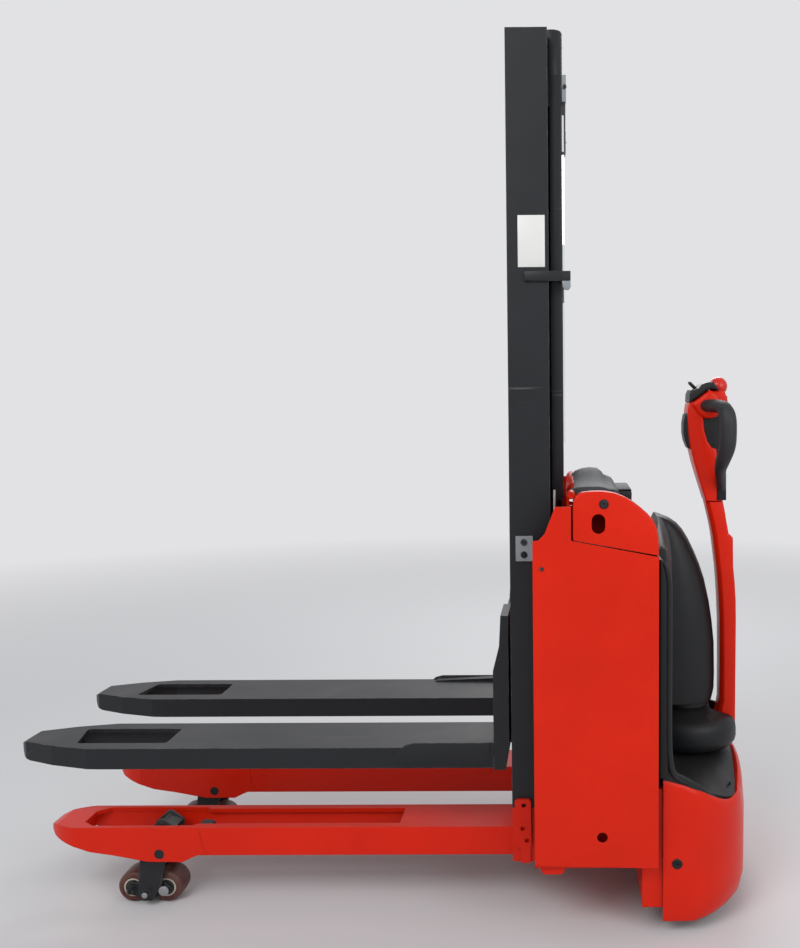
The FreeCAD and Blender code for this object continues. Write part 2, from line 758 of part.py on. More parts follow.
def drive_cover():
    """Red skirt round the drive unit, open above and below."""
    outer = cover_solid(0, cover_bottom, 400)
    inner = cover_solid(cover_wall, cover_bottom - 1, 401)
    shell = outer.cut(inner)
    above = prism_xz([(cover_front - 1, rim_line(cover_front)), (drive_reach + 1, rim_line(drive_reach)),
                      (drive_reach + 1, 500), (cover_front - 1, 500)], -half_body, half_body)
    shell = shell.cut(above)
    opening = box(cover_front - 1, cover_front + cover_wall + 1, -half_body + 34, half_body - 34,
                  cover_bottom - 1, 401)
    return shell.cut(opening)


def drive_tray():
    """Black shelf that closes the cover, falling towards the rear, with a hole for the turret's skirt."""
    depth = 6.0
    front = rim_line(shroud_rear) - tray_drop
    rear = rim_line(drive_reach) - tray_drop
    slab = prism_xz([(shroud_rear, front), (drive_reach, rear), (drive_reach, rear - depth),
                     (shroud_rear, front - depth)], -half_body, half_body)
    slab = slab.common(cover_solid(cover_wall, deck_top - 60, rim_height + 40))
    hole = rod((steer_x, 0, deck_top - 60), (steer_x, 0, boss_top), boss_skirt + moving_gap)
    return slab.cut(hole)


def drive_frame():
    """Upright plate behind the battery, deck over the wheels and castor housings."""
    x0 = frame_plate_x
    x1 = x0 + frame_plate
    upright = box(x0, x1, -365, 365, 61, 800)
    wheel_way = box(x0 - 1, x1 + 1, -80, 80, 60, 250)
    upright = upright.cut(wheel_way)
    deck_bottom = deck_top - deck_plate
    deck = box(x1 - 1, drive_reach - 78, -deck_half, deck_half, deck_bottom, deck_top)
    corner = d_plan(x1 - 1, cover_half_width - 2 * cover_wall, drive_reach - 4 * cover_wall, deck_bottom - 1,
                    deck_top + 1)
    deck = deck.common(corner)
    hole = rod((steer_x, 0, deck_bottom - 1), (steer_x, 0, deck_top + 1), motor_radius + 12 + running_gap)
    pieces = [upright, deck.cut(hole)]
    for s in (-1, 1):
        lo, hi = sorted((s * 355, s * 365))
        pieces.append(box(x1 - 1, cover_front, lo, hi, 61, 340))
        pieces.append(box(cover_front, cover_front + 40, lo, hi, 200, 300))
        pieces.append(box(cover_front + 10, cover_front + 40, *sorted((s * 364, s * (cover_half_width - cover_wall))),
                          220, 280))
        pieces.append(box(x1 - 1, cover_front + 40, *sorted((s * (deck_half - 1), s * 356)), deck_bottom, deck_top))
        pieces.append(rod((castor_x, s * castor_y, 150.2), (castor_x, s * castor_y, deck_bottom + 1), 32.0))
    body = joined(pieces)
    for s in (-1, 1):
        body = body.cut(rod((castor_x, s * castor_y, 149), (castor_x, s * castor_y, 230), 12 + running_gap))
    return body


def shroud():
    """Black upright panel between the battery side and the drive unit."""
    plate = box(shroud_front, shroud_rear, -375, 375, 364, shroud_top)
    plate = rounded(plate, (1, 0, 0), 40.0, lambda p: p.z > 800)
    recess = rod((steer_x, 0, rim_height), (steer_x, 0, boss_top + 3 * moving_gap), boss_radius + moving_gap)
    stays = [box(frame_plate_x + frame_plate, shroud_front + 1, s * 300 - 20, s * 300 + 20, 600, 640)
             for s in (-1, 1)]
    return joined([plate.cut(recess)] + stays)


def dome():
    """Rounded cover over the drive motor, narrow enough for the tiller to swing round it."""
    z0 = boss_top + 2 * moving_gap
    rear = [((shroud_rear, 0, 926), (438, 0, 923), (468, 0, 908)),
            ((468, 0, 908), (484, 0, 893), (495, 0, 870)),
            ((495, 0, 870), (536, 0, 770), (560, 0, 655)),
            ((560, 0, 655), (568, 0, 560), (562, 0, z0))]
    edges = [Part.Arc(*[V(*p) for p in points]).toShape() for points in rear]
    edges.append(Part.makeLine(V(562, 0, z0), V(shroud_rear, 0, z0)))
    edges.append(Part.makeLine(V(shroud_rear, 0, z0), V(shroud_rear, 0, 926)))
    core = Part.Face(Part.Wire(edges)).extrude(V(0, 2 * cowl_core, 0)).translated(V(0, -cowl_core, 0))
    sweep = [(0, z0 - 1), (78, z0 - 1), (80, 590), (78, 697), (70, 770), (58, 860), (46, 930), (0, 930)]
    turned = face_of([(steer_x + r, 0, z) for r, z in sweep]).revolve(V(steer_x, 0, 0), V(0, 0, 1), 360)
    keep = joined([turned, box(shroud_rear, cowl_wing_rear, -cowl_core, cowl_core, z0, 930)])
    core = core.common(keep)
    wing = prism_xz([(shroud_rear, z0), (cowl_wing_rear - 3, z0), (cowl_wing_rear, 800), (430, 880), (416, 908),
                     (shroud_rear, 918)], -cowl_half, cowl_half)
    plan = box(shroud_rear, cowl_wing_rear + 1, -cowl_half, cowl_half, z0, 930)
    wing = wing.common(rounded(plan, (0, 0, 1), 30.0, lambda p: p.x > cowl_wing_rear))
    body = joined([core, wing])
    hollow = joined([rod((steer_x, 0, z0), (steer_x, 0, motor_top + 80), motor_radius + 14),
                     box(shroud_rear + 6, steer_x, -70, 70, z0, motor_top + 80)])
    return body.cut(hollow)


save("drive_frame", drive_frame())
save("drive_cover", drive_cover())
save("drive_tray", drive_tray())
save("drive_shroud", shroud())
save("motor_cover", dome())


# Steered drive wheel and its boss

def drive_motor():
    """Upright motor on the gearbox, with the ring that turns in the deck."""
    deck_bottom = deck_top - deck_plate
    motor = rod((steer_x, 0, 240), (steer_x, 0, motor_top), motor_radius)
    ring = rod((steer_x, 0, deck_bottom - 12), (steer_x, 0, deck_top), motor_radius + 12)
    flange = rod((steer_x, 0, deck_bottom - 24), (steer_x, 0, deck_bottom - 12), motor_radius + 12)
    lip = rod((steer_x, 0, deck_top), (steer_x, 0, deck_top + 8), motor_radius + 22)
    return joined([motor, ring, flange, lip])


def gearbox():
    """Leg down one side of the wheel, with the stub that carries it."""
    y0 = drive_wheel_width / 2 + 6
    leg = box(steer_x - 60, steer_x + 60, y0, y0 + 22, drive_wheel_radius - 60, 240)
    leg = rounded(leg, (0, 1, 0), 30.0, lambda p: p.z < 100)
    head = box(steer_x - 60, steer_x + 60, -30, y0 + 22, 2 * drive_wheel_radius + 4, 240)
    stub = rod((steer_x, -20, drive_wheel_radius), (steer_x, y0 + 1, drive_wheel_radius), 20.0)
    return joined([leg, head, stub])


def drive_wheel():
    half = drive_wheel_width / 2
    hub = rod((steer_x, -half + 4, drive_wheel_radius), (steer_x, half - 4, drive_wheel_radius),
              drive_hub_radius)
    bore = rod((steer_x, -20, drive_wheel_radius), (steer_x, half, drive_wheel_radius), 20 + running_gap)
    return hub.cut(bore)


def drive_tyre():
    half = drive_wheel_width / 2
    tyre = rod((steer_x, -half, drive_wheel_radius), (steer_x, half, drive_wheel_radius), drive_wheel_radius)
    tyre = tyre.makeFillet(6.0, [e for e in tyre.Edges if e.Curve.TypeId == "Part::GeomCircle"])
    return tyre.cut(rod((steer_x, -half - 1, drive_wheel_radius), (steer_x, half + 1, drive_wheel_radius),
                        drive_hub_radius))


def steer_boss():
    """Black turret that turns with the tiller, slotted at its rear for the tiller's foot."""
    r = boss_radius
    profile = [(motor_radius + 0.3, deck_top + 10), (boss_skirt, deck_top + 10), (boss_skirt, boss_bottom),
               (r - 16, boss_bottom), (r - 4, boss_bottom + 8), (r, boss_bottom + 20), (r - 3, boss_bottom + 42),
               (r - 12, boss_bottom + 58), (r - 30, boss_bottom + 71), (r - 60, boss_top),
               (motor_radius + 0.3, boss_top)]
    body = face_of([(steer_x + a, 0, z) for a, z in profile]).revolve(V(steer_x, 0, 0), V(0, 0, 1), 360)
    half = tiller_half_width + tiller_side_gap
    slot = box(tiller_pin_x - tiller_foot - moving_gap, steer_x + r + 1, -half, half, deck_top, boss_top + 1)
    body = body.cut(slot)
    bore = rod((tiller_pin_x, -r, tiller_pin_z), (tiller_pin_x, r, tiller_pin_z),
               tiller_pin_radius + running_gap)
    return body.cut(bore)


save("drive_motor", drive_motor())
save("drive_gearbox", gearbox())
save("drive_wheel_hub", drive_wheel())
save("drive_tyre", drive_tyre())
save("steer_boss", steer_boss())


# Castors

def castor_fork():
    """Swivel stem, top plate and two legs."""
    y = -castor_y
    half = castor_wheel_width / 2 + 9
    z_axle = castor_wheel_radius
    stem = rod((castor_x, y, 150), (castor_x, y, 228), 12.0)
    top = rod((castor_x, y, 140), (castor_x, y, 150), 36.0)
    axle_x = castor_x + castor_trail
    pieces = [stem, top]
    for s in (-1, 1):
        lo, hi = sorted((y + s * half, y + s * (half - 5)))
        pieces.append(prism_xz([(castor_x - 30, 141), (castor_x + 30, 141), (axle_x + 14, z_axle),
                                (axle_x + 6, z_axle - 14), (axle_x - 10, z_axle - 12)], lo, hi))
    axle = rod((axle_x, y - half, z_axle), (axle_x, y + half, z_axle), 8.0)
    return joined(pieces + [axle])


def castor_wheel():
    y = -castor_y
    x = castor_x + castor_trail
    half = castor_wheel_width / 2
    z = castor_wheel_radius
    wheel = rod((x, y - half, z), (x, y + half, z), castor_wheel_radius)
    wheel = wheel.makeFillet(6.0, [e for e in wheel.Edges if e.Curve.TypeId == "Part::GeomCircle"])
    return wheel.cut(rod((x, y - half - 1, z), (x, y + half + 1, z), 8 + running_gap))


save_pair("castor_fork", castor_fork())
save_pair("castor_wheel", castor_wheel())


# Tiller

def tiller_arm():
    """Long bowed arm on its pin, reaching up to the head."""
    front = [(570, 372), (574, 440), (573, 573), (570, 704), (563, 790), (551, 880), (533, 960)]
    rear = [(577, 960), (583, 930), (590, 885), (603, 800), (612, 704), (613, 573), (613, 440), (612, 372),
            (604, 346), (590, tiller_pin_z - tiller_foot)]
    arm = prism_xz(front + rear, -tiller_half_width, tiller_half_width)
    foot = rod((tiller_pin_x, -tiller_half_width, tiller_pin_z), (tiller_pin_x, tiller_half_width, tiller_pin_z),
               tiller_foot)
    pin_half = tiller_half_width + tiller_side_gap + 20.0
    pin = rod((tiller_pin_x, -pin_half, tiller_pin_z), (tiller_pin_x, pin_half, tiller_pin_z),
              tiller_pin_radius)
    body = joined([arm, foot])
    return joined([body, pin])


def tiller_head():
    """Red head body between the grips, with a round button at its top."""
    outline = [(533, 960), (513, 1020), (490, 1098), (482, 1150), (480, 1192), (487, 1216), (515, 1238), (552, 1250),
               (588, 1236), (598, 1205), (586, 1166), (578, 1100), (584, 1024), (583, 960)]
    head = prism_xz(outline, -head_half_width, head_half_width)
    button = rod((568, -30, 1247), (568, 30, 1247), 22.0)
    return joined([head, button])


def tiller_grips():
    """One looped grip at each side, from the head's top out, down and back to its base."""
    def loop(side):
        path = [(528, head_half_width - 8, 1204), (556, 122, 1199), (570, 146, 1178), (569, 150, 1105),
                (562, 120, 1062), (562, head_half_width - 8, 1004)]
        pts = [V(x, side * y, z) for x, y, z in path]
        pieces = [Part.makeCylinder(grip_radius, (b - a).Length, a, b - a) for a, b in zip(pts, pts[1:])]
        pieces += [Part.makeSphere(grip_radius, p) for p in pts[1:-1]]
        body = joined(pieces)
        lo, hi = sorted((0, side * head_half_width))
        return body.cut(box(400, 700, lo, hi, 900, 1300))
    return Part.makeCompound([loop(-1), loop(1)])


save("tiller_arm", tiller_arm())
save("tiller_head", tiller_head())
save("tiller_grips", tiller_grips())

everything = Part.makeCompound(list(made.values()))
bounds = everything.BoundBox
print(len(made), "sub-parts")
print("x %.1f to %.1f" % (bounds.XMin, bounds.XMax))
print("y %.1f to %.1f" % (bounds.YMin, bounds.YMax))
print("z %.1f to %.1f" % (bounds.ZMin, bounds.ZMax))
for name, shape in made.items():
    if not shape.isValid() or not shape.Solids:
        print("not valid:", name)
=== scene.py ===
# %% [markdown]
# # A pedestrian stacker, dressed for its portrait
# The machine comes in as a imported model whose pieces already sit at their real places, in metres.
# Nothing here moves them. This lesson gives each one its finish, and builds the moulded covers,
# the tiller, the wheels and the small fittings that a plain solid can only hint at.

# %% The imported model
import bpy
import bmesh
import json
import math
from mathutils import Matrix, Vector


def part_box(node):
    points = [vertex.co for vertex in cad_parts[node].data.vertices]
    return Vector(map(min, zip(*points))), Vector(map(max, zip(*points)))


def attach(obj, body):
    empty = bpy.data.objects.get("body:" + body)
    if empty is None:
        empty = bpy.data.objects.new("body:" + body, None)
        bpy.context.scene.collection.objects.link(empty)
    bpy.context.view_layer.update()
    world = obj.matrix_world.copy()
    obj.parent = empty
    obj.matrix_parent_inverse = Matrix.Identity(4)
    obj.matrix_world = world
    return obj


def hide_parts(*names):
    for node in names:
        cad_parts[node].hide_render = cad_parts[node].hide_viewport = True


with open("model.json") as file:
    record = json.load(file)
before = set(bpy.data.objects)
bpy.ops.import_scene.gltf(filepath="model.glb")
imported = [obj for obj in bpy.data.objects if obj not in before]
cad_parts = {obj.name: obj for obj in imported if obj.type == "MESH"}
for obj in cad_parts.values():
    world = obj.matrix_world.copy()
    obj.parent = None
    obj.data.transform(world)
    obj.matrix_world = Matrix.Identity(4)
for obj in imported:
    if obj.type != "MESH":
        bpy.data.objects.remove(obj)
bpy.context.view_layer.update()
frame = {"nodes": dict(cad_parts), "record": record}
nodes = frame["nodes"]
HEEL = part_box("fork_right")[1].x - 0.003
BODY_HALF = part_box("side_panel_left")[1].y
print("nodes:", len(nodes), "fork heel at x =", round(HEEL, 3))

# %% [markdown]
# ## The camera
# The photograph was taken by someone standing at the machine's side. A camera can be placed by
# typing rotations, but it is easier to check from three directions: where it looks, what is right
# and what is up. The lens is given as the distance, in pixels, from the eye to the picture,
# because that is how it was worked out from the forks' real length.

# %% Camera
PICTURE_WIDTH = 800
PICTURE_HEIGHT = 948
EYE = Vector((HEEL + 0.1747, -2.5588, 1.2414))
FOCAL_PIXELS = 994.55
CENTRE_PIXEL = 559.66
PITCH = 0.0827
YAW = -0.0055
ROLL = -0.006
SENSOR = 36.0

level_ahead = Vector((math.sin(YAW), math.cos(YAW), 0))
level_right = Vector((math.cos(YAW), -math.sin(YAW), 0))
ahead = level_ahead * math.cos(PITCH) - Vector((0, 0, math.sin(PITCH)))
above = level_ahead * math.sin(PITCH) + Vector((0, 0, math.cos(PITCH)))
right = level_right * math.cos(ROLL) + above * math.sin(ROLL)
above = above * math.cos(ROLL) - level_right * math.sin(ROLL)
lens = bpy.data.cameras.new("portrait_lens")
lens.sensor_width = SENSOR
lens.lens = FOCAL_PIXELS / PICTURE_HEIGHT * SENSOR
lens.shift_x = (PICTURE_WIDTH / 2 - CENTRE_PIXEL) / PICTURE_HEIGHT
camera = bpy.data.objects.new("portrait_camera", lens)
bpy.context.collection.objects.link(camera)
camera.matrix_world = Matrix.Translation(EYE) @ Matrix((right, above, -ahead)).transposed().to_4x4()
scene = bpy.context.scene
scene.camera = camera
scene.view_settings.view_transform = "Standard"
print("lens %.1f mm" % lens.lens)

# %% [markdown]
# ## Node helpers
# A finish is a small network of nodes. Wiring it by hand takes many lines, so these helpers add a
# node with its values, link sockets, and open a shader group with named inputs and outputs.

# %% Node helpers
def add(tree, kind, **values):
    """A node whose settings and unlinked inputs are given by name; spaces are written as _ ."""
    node = tree.nodes.new("ShaderNode" + kind)
    for key, value in values.items():
        name = key.replace("_", " ")
        if name in node.inputs:
            node.inputs[name].default_value = value
        else:
            setattr(node, key, value)
    return node


def link(tree, start, end):
    tree.links.new(start, end)


def open_group(name, inputs, outputs):
    """A shader group; inputs are (name, default), outputs are (name, kind)."""
    tree = bpy.data.node_groups.new(name, "ShaderNodeTree")
    for label, value in inputs:
        socket = tree.interface.new_socket(label, in_out="INPUT", socket_type="NodeSocketFloat")
        socket.default_value = value
    for label, kind in outputs:
        tree.interface.new_socket(label, in_out="OUTPUT", socket_type="NodeSocket" + kind)
    return tree, tree.nodes.new("NodeGroupInput"), tree.nodes.new("NodeGroupOutput")


def place(tree, group, **values):
    node = tree.nodes.new("ShaderNodeGroup")
    node.node_tree = group
    for key, value in values.items():
        node.inputs[key].default_value = value
    return node


def math_node(tree, operation, first, second, clamp=False):
    """A maths node; each side is a socket or a number."""
    node = tree.nodes.new("ShaderNodeMath")
    node.operation = operation
    node.use_clamp = clamp
    for socket, value in zip(node.inputs, (first, second)):
        if isinstance(value, (int, float)):
            socket.default_value = value
        else:
            tree.links.new(value, socket)
    return node.outputs[0]


def mixed(tree, factor, first, second):
    """A colour mix; each colour is a socket or three numbers."""
    node = tree.nodes.new("ShaderNodeMix")
    node.data_type = "RGBA"
    tree.links.new(factor, node.inputs[0])
    for socket, value in ((node.inputs[6], first), (node.inputs[7], second)):
        if isinstance(value, tuple):
            socket.default_value = (*value, 1)
        else:
            tree.links.new(value, socket)
    return node.outputs[2]


def spread(tree, value, low, high, out_low=0.0, out_high=1.0):
    """Map a value from one range to another, held at its ends."""
    node = add(tree, "MapRange", From_Min=low, From_Max=high, To_Min=out_low, To_Max=out_high)
    tree.links.new(value, node.inputs["Value"])
    return node.outputs["Result"]


print("helpers ready")

# %% [markdown]
# ## Four effects that every finish shares
# Pressed and welded steel has no knife edges, and its paint rubs thin where hands, pallets and
# forks touch it. The Bevel node looks at the surface a few millimetres around a point, so it gives
# a rounded edge on a hard solid, and where its normal leaves the true one there is an edge to wear.
# There the colour is lightened, partly as rubbed paint and partly as a painted highlight along every edge.
# Noise stretched one way gives scuffs, fine noise gives moulded grain, and the height above the
# floor together with the normal says where dust settles.

# %% Edge, scuff, grain and dust groups
def object_place(tree):
    return add(tree, "TexCoord").outputs["Object"]


def noise_at(tree, where, **values):
    """Noise read at a place, from 0 to 1."""
    node = add(tree, "TexNoise", **values)
    link(tree, where, node.inputs["Vector"])
    return node.outputs["Fac"]


def give_mask(tree, start, end, first, second):
    """What a group gives: two masks multiplied and scaled by its Amount."""
    mask = math_node(tree, "MULTIPLY", first, second)
    link(tree, math_node(tree, "MULTIPLY", mask, start.outputs["Amount"], True), end.inputs["Mask"])


def edge_group():
    tree, start, end = open_group("worn_and_sheen_edge", [("Radius", 0.003), ("Reach", 0.004), ("Amount", 0.5)],
                                  [("Mask", "Float"), ("Normal", "Vector")])
    soft = add(tree, "Bevel", samples=4)
    wide = add(tree, "Bevel", samples=4)
    link(tree, start.outputs["Radius"], soft.inputs["Radius"])
    link(tree, start.outputs["Reach"], wide.inputs["Radius"])
    true = add(tree, "NewGeometry")
    dot = add(tree, "VectorMath", operation="DOT_PRODUCT")
    link(tree, wide.outputs["Normal"], dot.inputs[0])
    link(tree, true.outputs["Normal"], dot.inputs[1])
    # Near every edge the mask lightens the colour, partly as worn paint and partly as a painted highlight.
    near_edge = spread(tree, dot.outputs["Value"], 0.97, 0.8)
    chips_and_sheen_patches = noise_at(tree, object_place(tree), Scale=38.0, Detail=6.0, Roughness=0.7)
    give_mask(tree, start, end, near_edge, spread(tree, chips_and_sheen_patches, 0.42, 0.62))
    link(tree, soft.outputs["Normal"], end.inputs["Normal"])
    return tree


def scuff_group():
    tree, start, end = open_group("scuffs", [("Amount", 0.5), ("Along", 3.0), ("Across", 90.0)],
                                  [("Mask", "Float")])
    where = object_place(tree)
    sizes = add(tree, "CombineXYZ")
    for axis, label in (("X", "Along"), ("Y", "Across"), ("Z", "Across")):
        link(tree, start.outputs[label], sizes.inputs[axis])
    stretched = add(tree, "VectorMath", operation="MULTIPLY")
    link(tree, where, stretched.inputs[0])
    link(tree, sizes.outputs["Vector"], stretched.inputs[1])
    lines = noise_at(tree, stretched.outputs["Vector"], Scale=1.0, Detail=3.0, Roughness=0.6,
                     Distortion=0.3)
    patches = noise_at(tree, where, Scale=5.0, Detail=2.0)
    give_mask(tree, start, end, spread(tree, lines, 0.66, 0.72), spread(tree, patches, 0.52, 0.66))
    return tree


def grain_group():
    tree, start, end = open_group("moulded_grain", [("Scale", 900.0), ("Waviness", 0.2)],
                                  [("Height", "Float")])
    where = object_place(tree)
    fine = add(tree, "TexNoise", Detail=2.0, Roughness=0.5)
    link(tree, start.outputs["Scale"], fine.inputs["Scale"])
    link(tree, where, fine.inputs["Vector"])
    broad = noise_at(tree, where, Scale=22.0, Detail=1.0)
    wave = math_node(tree, "MULTIPLY", broad, start.outputs["Waviness"])
    link(tree, math_node(tree, "ADD", fine.outputs["Fac"], wave), end.inputs["Height"])
    return tree


def dust_group():
    tree, start, end = open_group("settled_dust", [("Amount", 0.3), ("Floor_height", 0.25)],
                                  [("Mask", "Float")])
    where = object_place(tree)
    height = add(tree, "SeparateXYZ")
    link(tree, where, height.inputs[0])
    facing = add(tree, "SeparateXYZ")
    link(tree, add(tree, "NewGeometry").outputs["Normal"], facing.inputs[0])
    upward = spread(tree, facing.outputs["Z"], 0.5, 1.0, 0.0, 0.6)
    low_down = add(tree, "MapRange", From_Min=0.0, To_Min=1.0, To_Max=0.0)
    link(tree, height.outputs["Z"], low_down.inputs["Value"])
    link(tree, start.outputs["Floor_height"], low_down.inputs["From Max"])
    both = math_node(tree, "ADD", upward, low_down.outputs["Result"], True)
    noise = noise_at(tree, where, Scale=14.0, Detail=5.0, Roughness=0.65)
    give_mask(tree, start, end, both, spread(tree, noise, 0.35, 0.75))
    return tree


EDGE_WEAR_AND_SHEEN = edge_group()
SCUFFS = scuff_group()
GRAIN = grain_group()
DUST = dust_group()
print("groups:", [g.name for g in bpy.data.node_groups])

# %% [markdown]
# ## One builder for all finishes
# Paint, plastic, steel and rubber differ in colour, gloss, grain and in what shows where they wear
# and where a painted highlight lightens their edges. Each could be wired alone, but then a change to
# the wear and painted highlight would be made a dozen times. Instead one function wires the shared
# effects into a Principled shader, and a table says how much of each.

# %% Finishes
DUST_COLOUR = (0.33, 0.3, 0.26)


def make_finish(name, colour, rough, metallic=0.0, shade=0.9, worn_and_sheen=None, edge_wear_and_sheen=0.0, radius=0.002, grain=0.0,
                grain_scale=900.0, scuff=0.0, dust=0.2, specular=0.3):
    """One material from a colour, its gloss and how much it shows of each shared effect."""
    material = bpy.data.materials.new(name)
    material.use_nodes = True
    tree = material.node_tree
    shader = tree.nodes["Principled BSDF"]
    shader.inputs["Specular IOR Level"].default_value = specular
    shader.inputs["Metallic"].default_value = metallic
    clouds = noise_at(tree, object_place(tree), Scale=6.0, Detail=4.0, Roughness=0.6)
    darker = tuple(c * shade for c in colour)
    tint = mixed(tree, spread(tree, clouds, 0.3, 0.7), darker, colour)
    gloss = spread(tree, clouds, 0.3, 0.7, rough - 0.05, rough + 0.05)
    edge = place(tree, EDGE_WEAR_AND_SHEEN, Radius=radius, Reach=max(radius * 1.3, 0.003), Amount=edge_wear_and_sheen)
    marks = place(tree, SCUFFS, Amount=scuff)
    # Edges take this lighter colour as rubbed paint and also as a painted highlight. Scuffs take it as
    # wear.
    wear_and_sheen_colour = worn_and_sheen or tuple(min(1.0, c * 1.6 + 0.02) for c in colour)
    tint = mixed(tree, edge.outputs["Mask"], tint, wear_and_sheen_colour)
    tint = mixed(tree, marks.outputs["Mask"], tint, wear_and_sheen_colour)
    film = place(tree, DUST, Amount=dust)
    tint = mixed(tree, film.outputs["Mask"], tint, DUST_COLOUR)
    gloss = math_node(tree, "ADD", gloss, math_node(tree, "MULTIPLY", film.outputs["Mask"], 0.4), True)
    link(tree, tint, shader.inputs["Base Color"])
    link(tree, gloss, shader.inputs["Roughness"])
    texture = place(tree, GRAIN, Scale=grain_scale)
    bump = add(tree, "Bump", Strength=max(grain, 0.02), Distance=0.0006)
    link(tree, texture.outputs["Height"], bump.inputs["Height"])
    link(tree, edge.outputs["Normal"], bump.inputs["Normal"])
    link(tree, bump.outputs["Normal"], shader.inputs["Normal"])
    return material


# The red paint's pinkish edge colour serves as worn primer and also as a painted highlight along its edges.
PRIMER_AND_EDGE_SHEEN = (0.5, 0.1, 0.05)
BARE_STEEL = (0.3, 0.3, 0.31)
FINISHES = {"red_paint": make_finish("red_powder_coat", (0.66, 0.015, 0.002), 0.34, worn_and_sheen=PRIMER_AND_EDGE_SHEEN, edge_wear_and_sheen=0.35,
                                     radius=0.0025, grain=0.1, grain_scale=420, scuff=0.08, dust=0.015,
                                     specular=0.18), "black_paint": make_finish("anthracite_coat",
                                                                                (0.0115, 0.013, 0.0155),
                                                                                0.42, shade=0.8,
                                                                                worn_and_sheen=BARE_STEEL, edge_wear_and_sheen=0.45,
                                                                                grain=0.12, grain_scale=500,
                                                                                scuff=0.18, dust=0.04),
            "black_plastic": make_finish("black_moulding", (0.0085, 0.0092, 0.0105), 0.46, shade=0.85,
                                         edge_wear_and_sheen=0.1, grain=0.35, grain_scale=1400, dust=0.03),
            "grey_plastic": make_finish("grey_soft_moulding", (0.045, 0.049, 0.054), 0.62, edge_wear_and_sheen=0.1,
                                        specular=0.2, grain=0.3, grain_scale=1500, dust=0.06),
            "battery_case": make_finish("battery_case", (0.03, 0.03, 0.032), 0.6, shade=0.8, grain=0.4,
                                        grain_scale=600, dust=0.25),
            "steel": make_finish("zinc_plate", (0.5, 0.5, 0.49), 0.38, metallic=0.9, shade=0.8,
                                 worn_and_sheen=(0.65, 0.65, 0.64), edge_wear_and_sheen=0.4, radius=0.0008, grain=0.1, dust=0.08,
                                 specular=0.5), "chrome": make_finish("hard_chrome", (0.78, 0.78, 0.79),
                                                                      0.12, metallic=1.0, shade=0.95,
                                                                      radius=0.0006, grain=0.02, dust=0.02,
                                                                      specular=0.5),
            "cast_iron": make_finish("black_casting", (0.022, 0.022, 0.024), 0.6, shade=0.75,
                                     worn_and_sheen=BARE_STEEL, edge_wear_and_sheen=0.2, radius=0.003, grain=0.9, grain_scale=300,
                                     dust=0.25), "tread": make_finish("brown_polyurethane",
                                                                      (0.085, 0.016, 0.01), 0.42,
                                                                      shade=0.75, worn_and_sheen=(0.14, 0.05, 0.035),
                                                                      edge_wear_and_sheen=0.3, grain=0.2, scuff=0.3,
                                                                      dust=0.3),
            "tyre": make_finish("black_rubber", (0.02, 0.02, 0.021), 0.7, shade=0.8, grain=0.5,
                                grain_scale=500, dust=0.5),
            "red_plastic": make_finish("red_moulding", (0.62, 0.015, 0.006), 0.3, shade=0.92, radius=0.001,
                                       grain=0.1, grain_scale=1400, dust=0.03, specular=0.4),
            "white_plate": make_finish("white_plate", (0.72, 0.72, 0.7), 0.35, shade=0.94, radius=0.0004,
                                       grain=0.04, dust=0.05),
            "pale_ring": make_finish("pale_hub_ring", (0.52, 0.47, 0.4), 0.45, shade=0.7, radius=0.0006,
                                     grain=0.3, dust=0.3), "bearing": make_finish("bearing_seal",
                                                                                  (0.05, 0.045, 0.04), 0.4,
                                                                                  metallic=0.3, shade=0.7,
                                                                                  radius=0.0006, grain=0.2),
            "grip_moulding": make_finish("grip_moulding", (0.026, 0.027, 0.029), 0.5, shade=0.85,
                                         grain=0.45, grain_scale=1500, dust=0.03),
            "dark_bolt": make_finish("blackened_bolt", (0.016, 0.016, 0.018), 0.35, metallic=0.6,
                                     worn_and_sheen=BARE_STEEL, edge_wear_and_sheen=0.5, radius=0.0008, grain=0.15, dust=0.05),
            "light_bolt": make_finish("plated_bolt", (0.42, 0.42, 0.42), 0.34, metallic=0.85, shade=0.8,
                                      radius=0.0006, grain=0.15, dust=0.1, specular=0.5),
            "light_bracket": make_finish("grey_bracket", (0.26, 0.28, 0.3), 0.45, shade=0.85,
                                         worn_and_sheen=(0.5, 0.5, 0.5), edge_wear_and_sheen=0.3, radius=0.0012, grain=0.15,
                                         dust=0.1), }


def clear_finish():
    """The guard behind the mast: thin clear polycarbonate, scratched a little."""
    material = bpy.data.materials.new("clear_guard")
    material.use_nodes = True
    tree = material.node_tree
    shader = tree.nodes["Principled BSDF"]
    shader.inputs["Transmission Weight"].default_value = 1.0
    shader.inputs["IOR"].default_value = 1.08
    shader.inputs["Specular IOR Level"].default_value = 0.15
    marks = place(tree, SCUFFS, Amount=0.6, Along=60.0)
    link(tree, mixed(tree, marks.outputs["Mask"], (0.86, 0.89, 0.9), (0.6, 0.62, 0.62)),
         shader.inputs["Base Color"])
    link(tree, spread(tree, marks.outputs["Mask"], 0.0, 1.0, 0.03, 0.4), shader.inputs["Roughness"])
    return material


FINISHES["screen"] = clear_finish()
print("finishes:", len(FINISHES))

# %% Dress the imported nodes
slot_of = {row["node"]: row["material_slot"] for row in frame["record"]["subparts"]}
OTHER = {"mast_brackets": "light_bracket", "push_rod_right": "cast_iron", "push_rod_left": "cast_iron"}
for name, piece in nodes.items():
    piece.data.materials.clear()
    piece.data.materials.append(FINISHES[OTHER.get(name, slot_of[name])])
print("dressed", len(nodes), "nodes")

# %% [markdown]
# ## Modelling helpers
# New pieces are made as by hand: a primitive is added, shaped in edit mode, and finished with a
# modifier. The places are stations behind the fork heel, so `spot` turns a station into the frame,
# and the tables of stations are written in millimetres. `loft` and `turned` make the normals face
# outward; `settle` puts a piece's place into its mesh, dresses it and lets it ride on its body.

# %% Modelling helpers
WELD = 0.00001


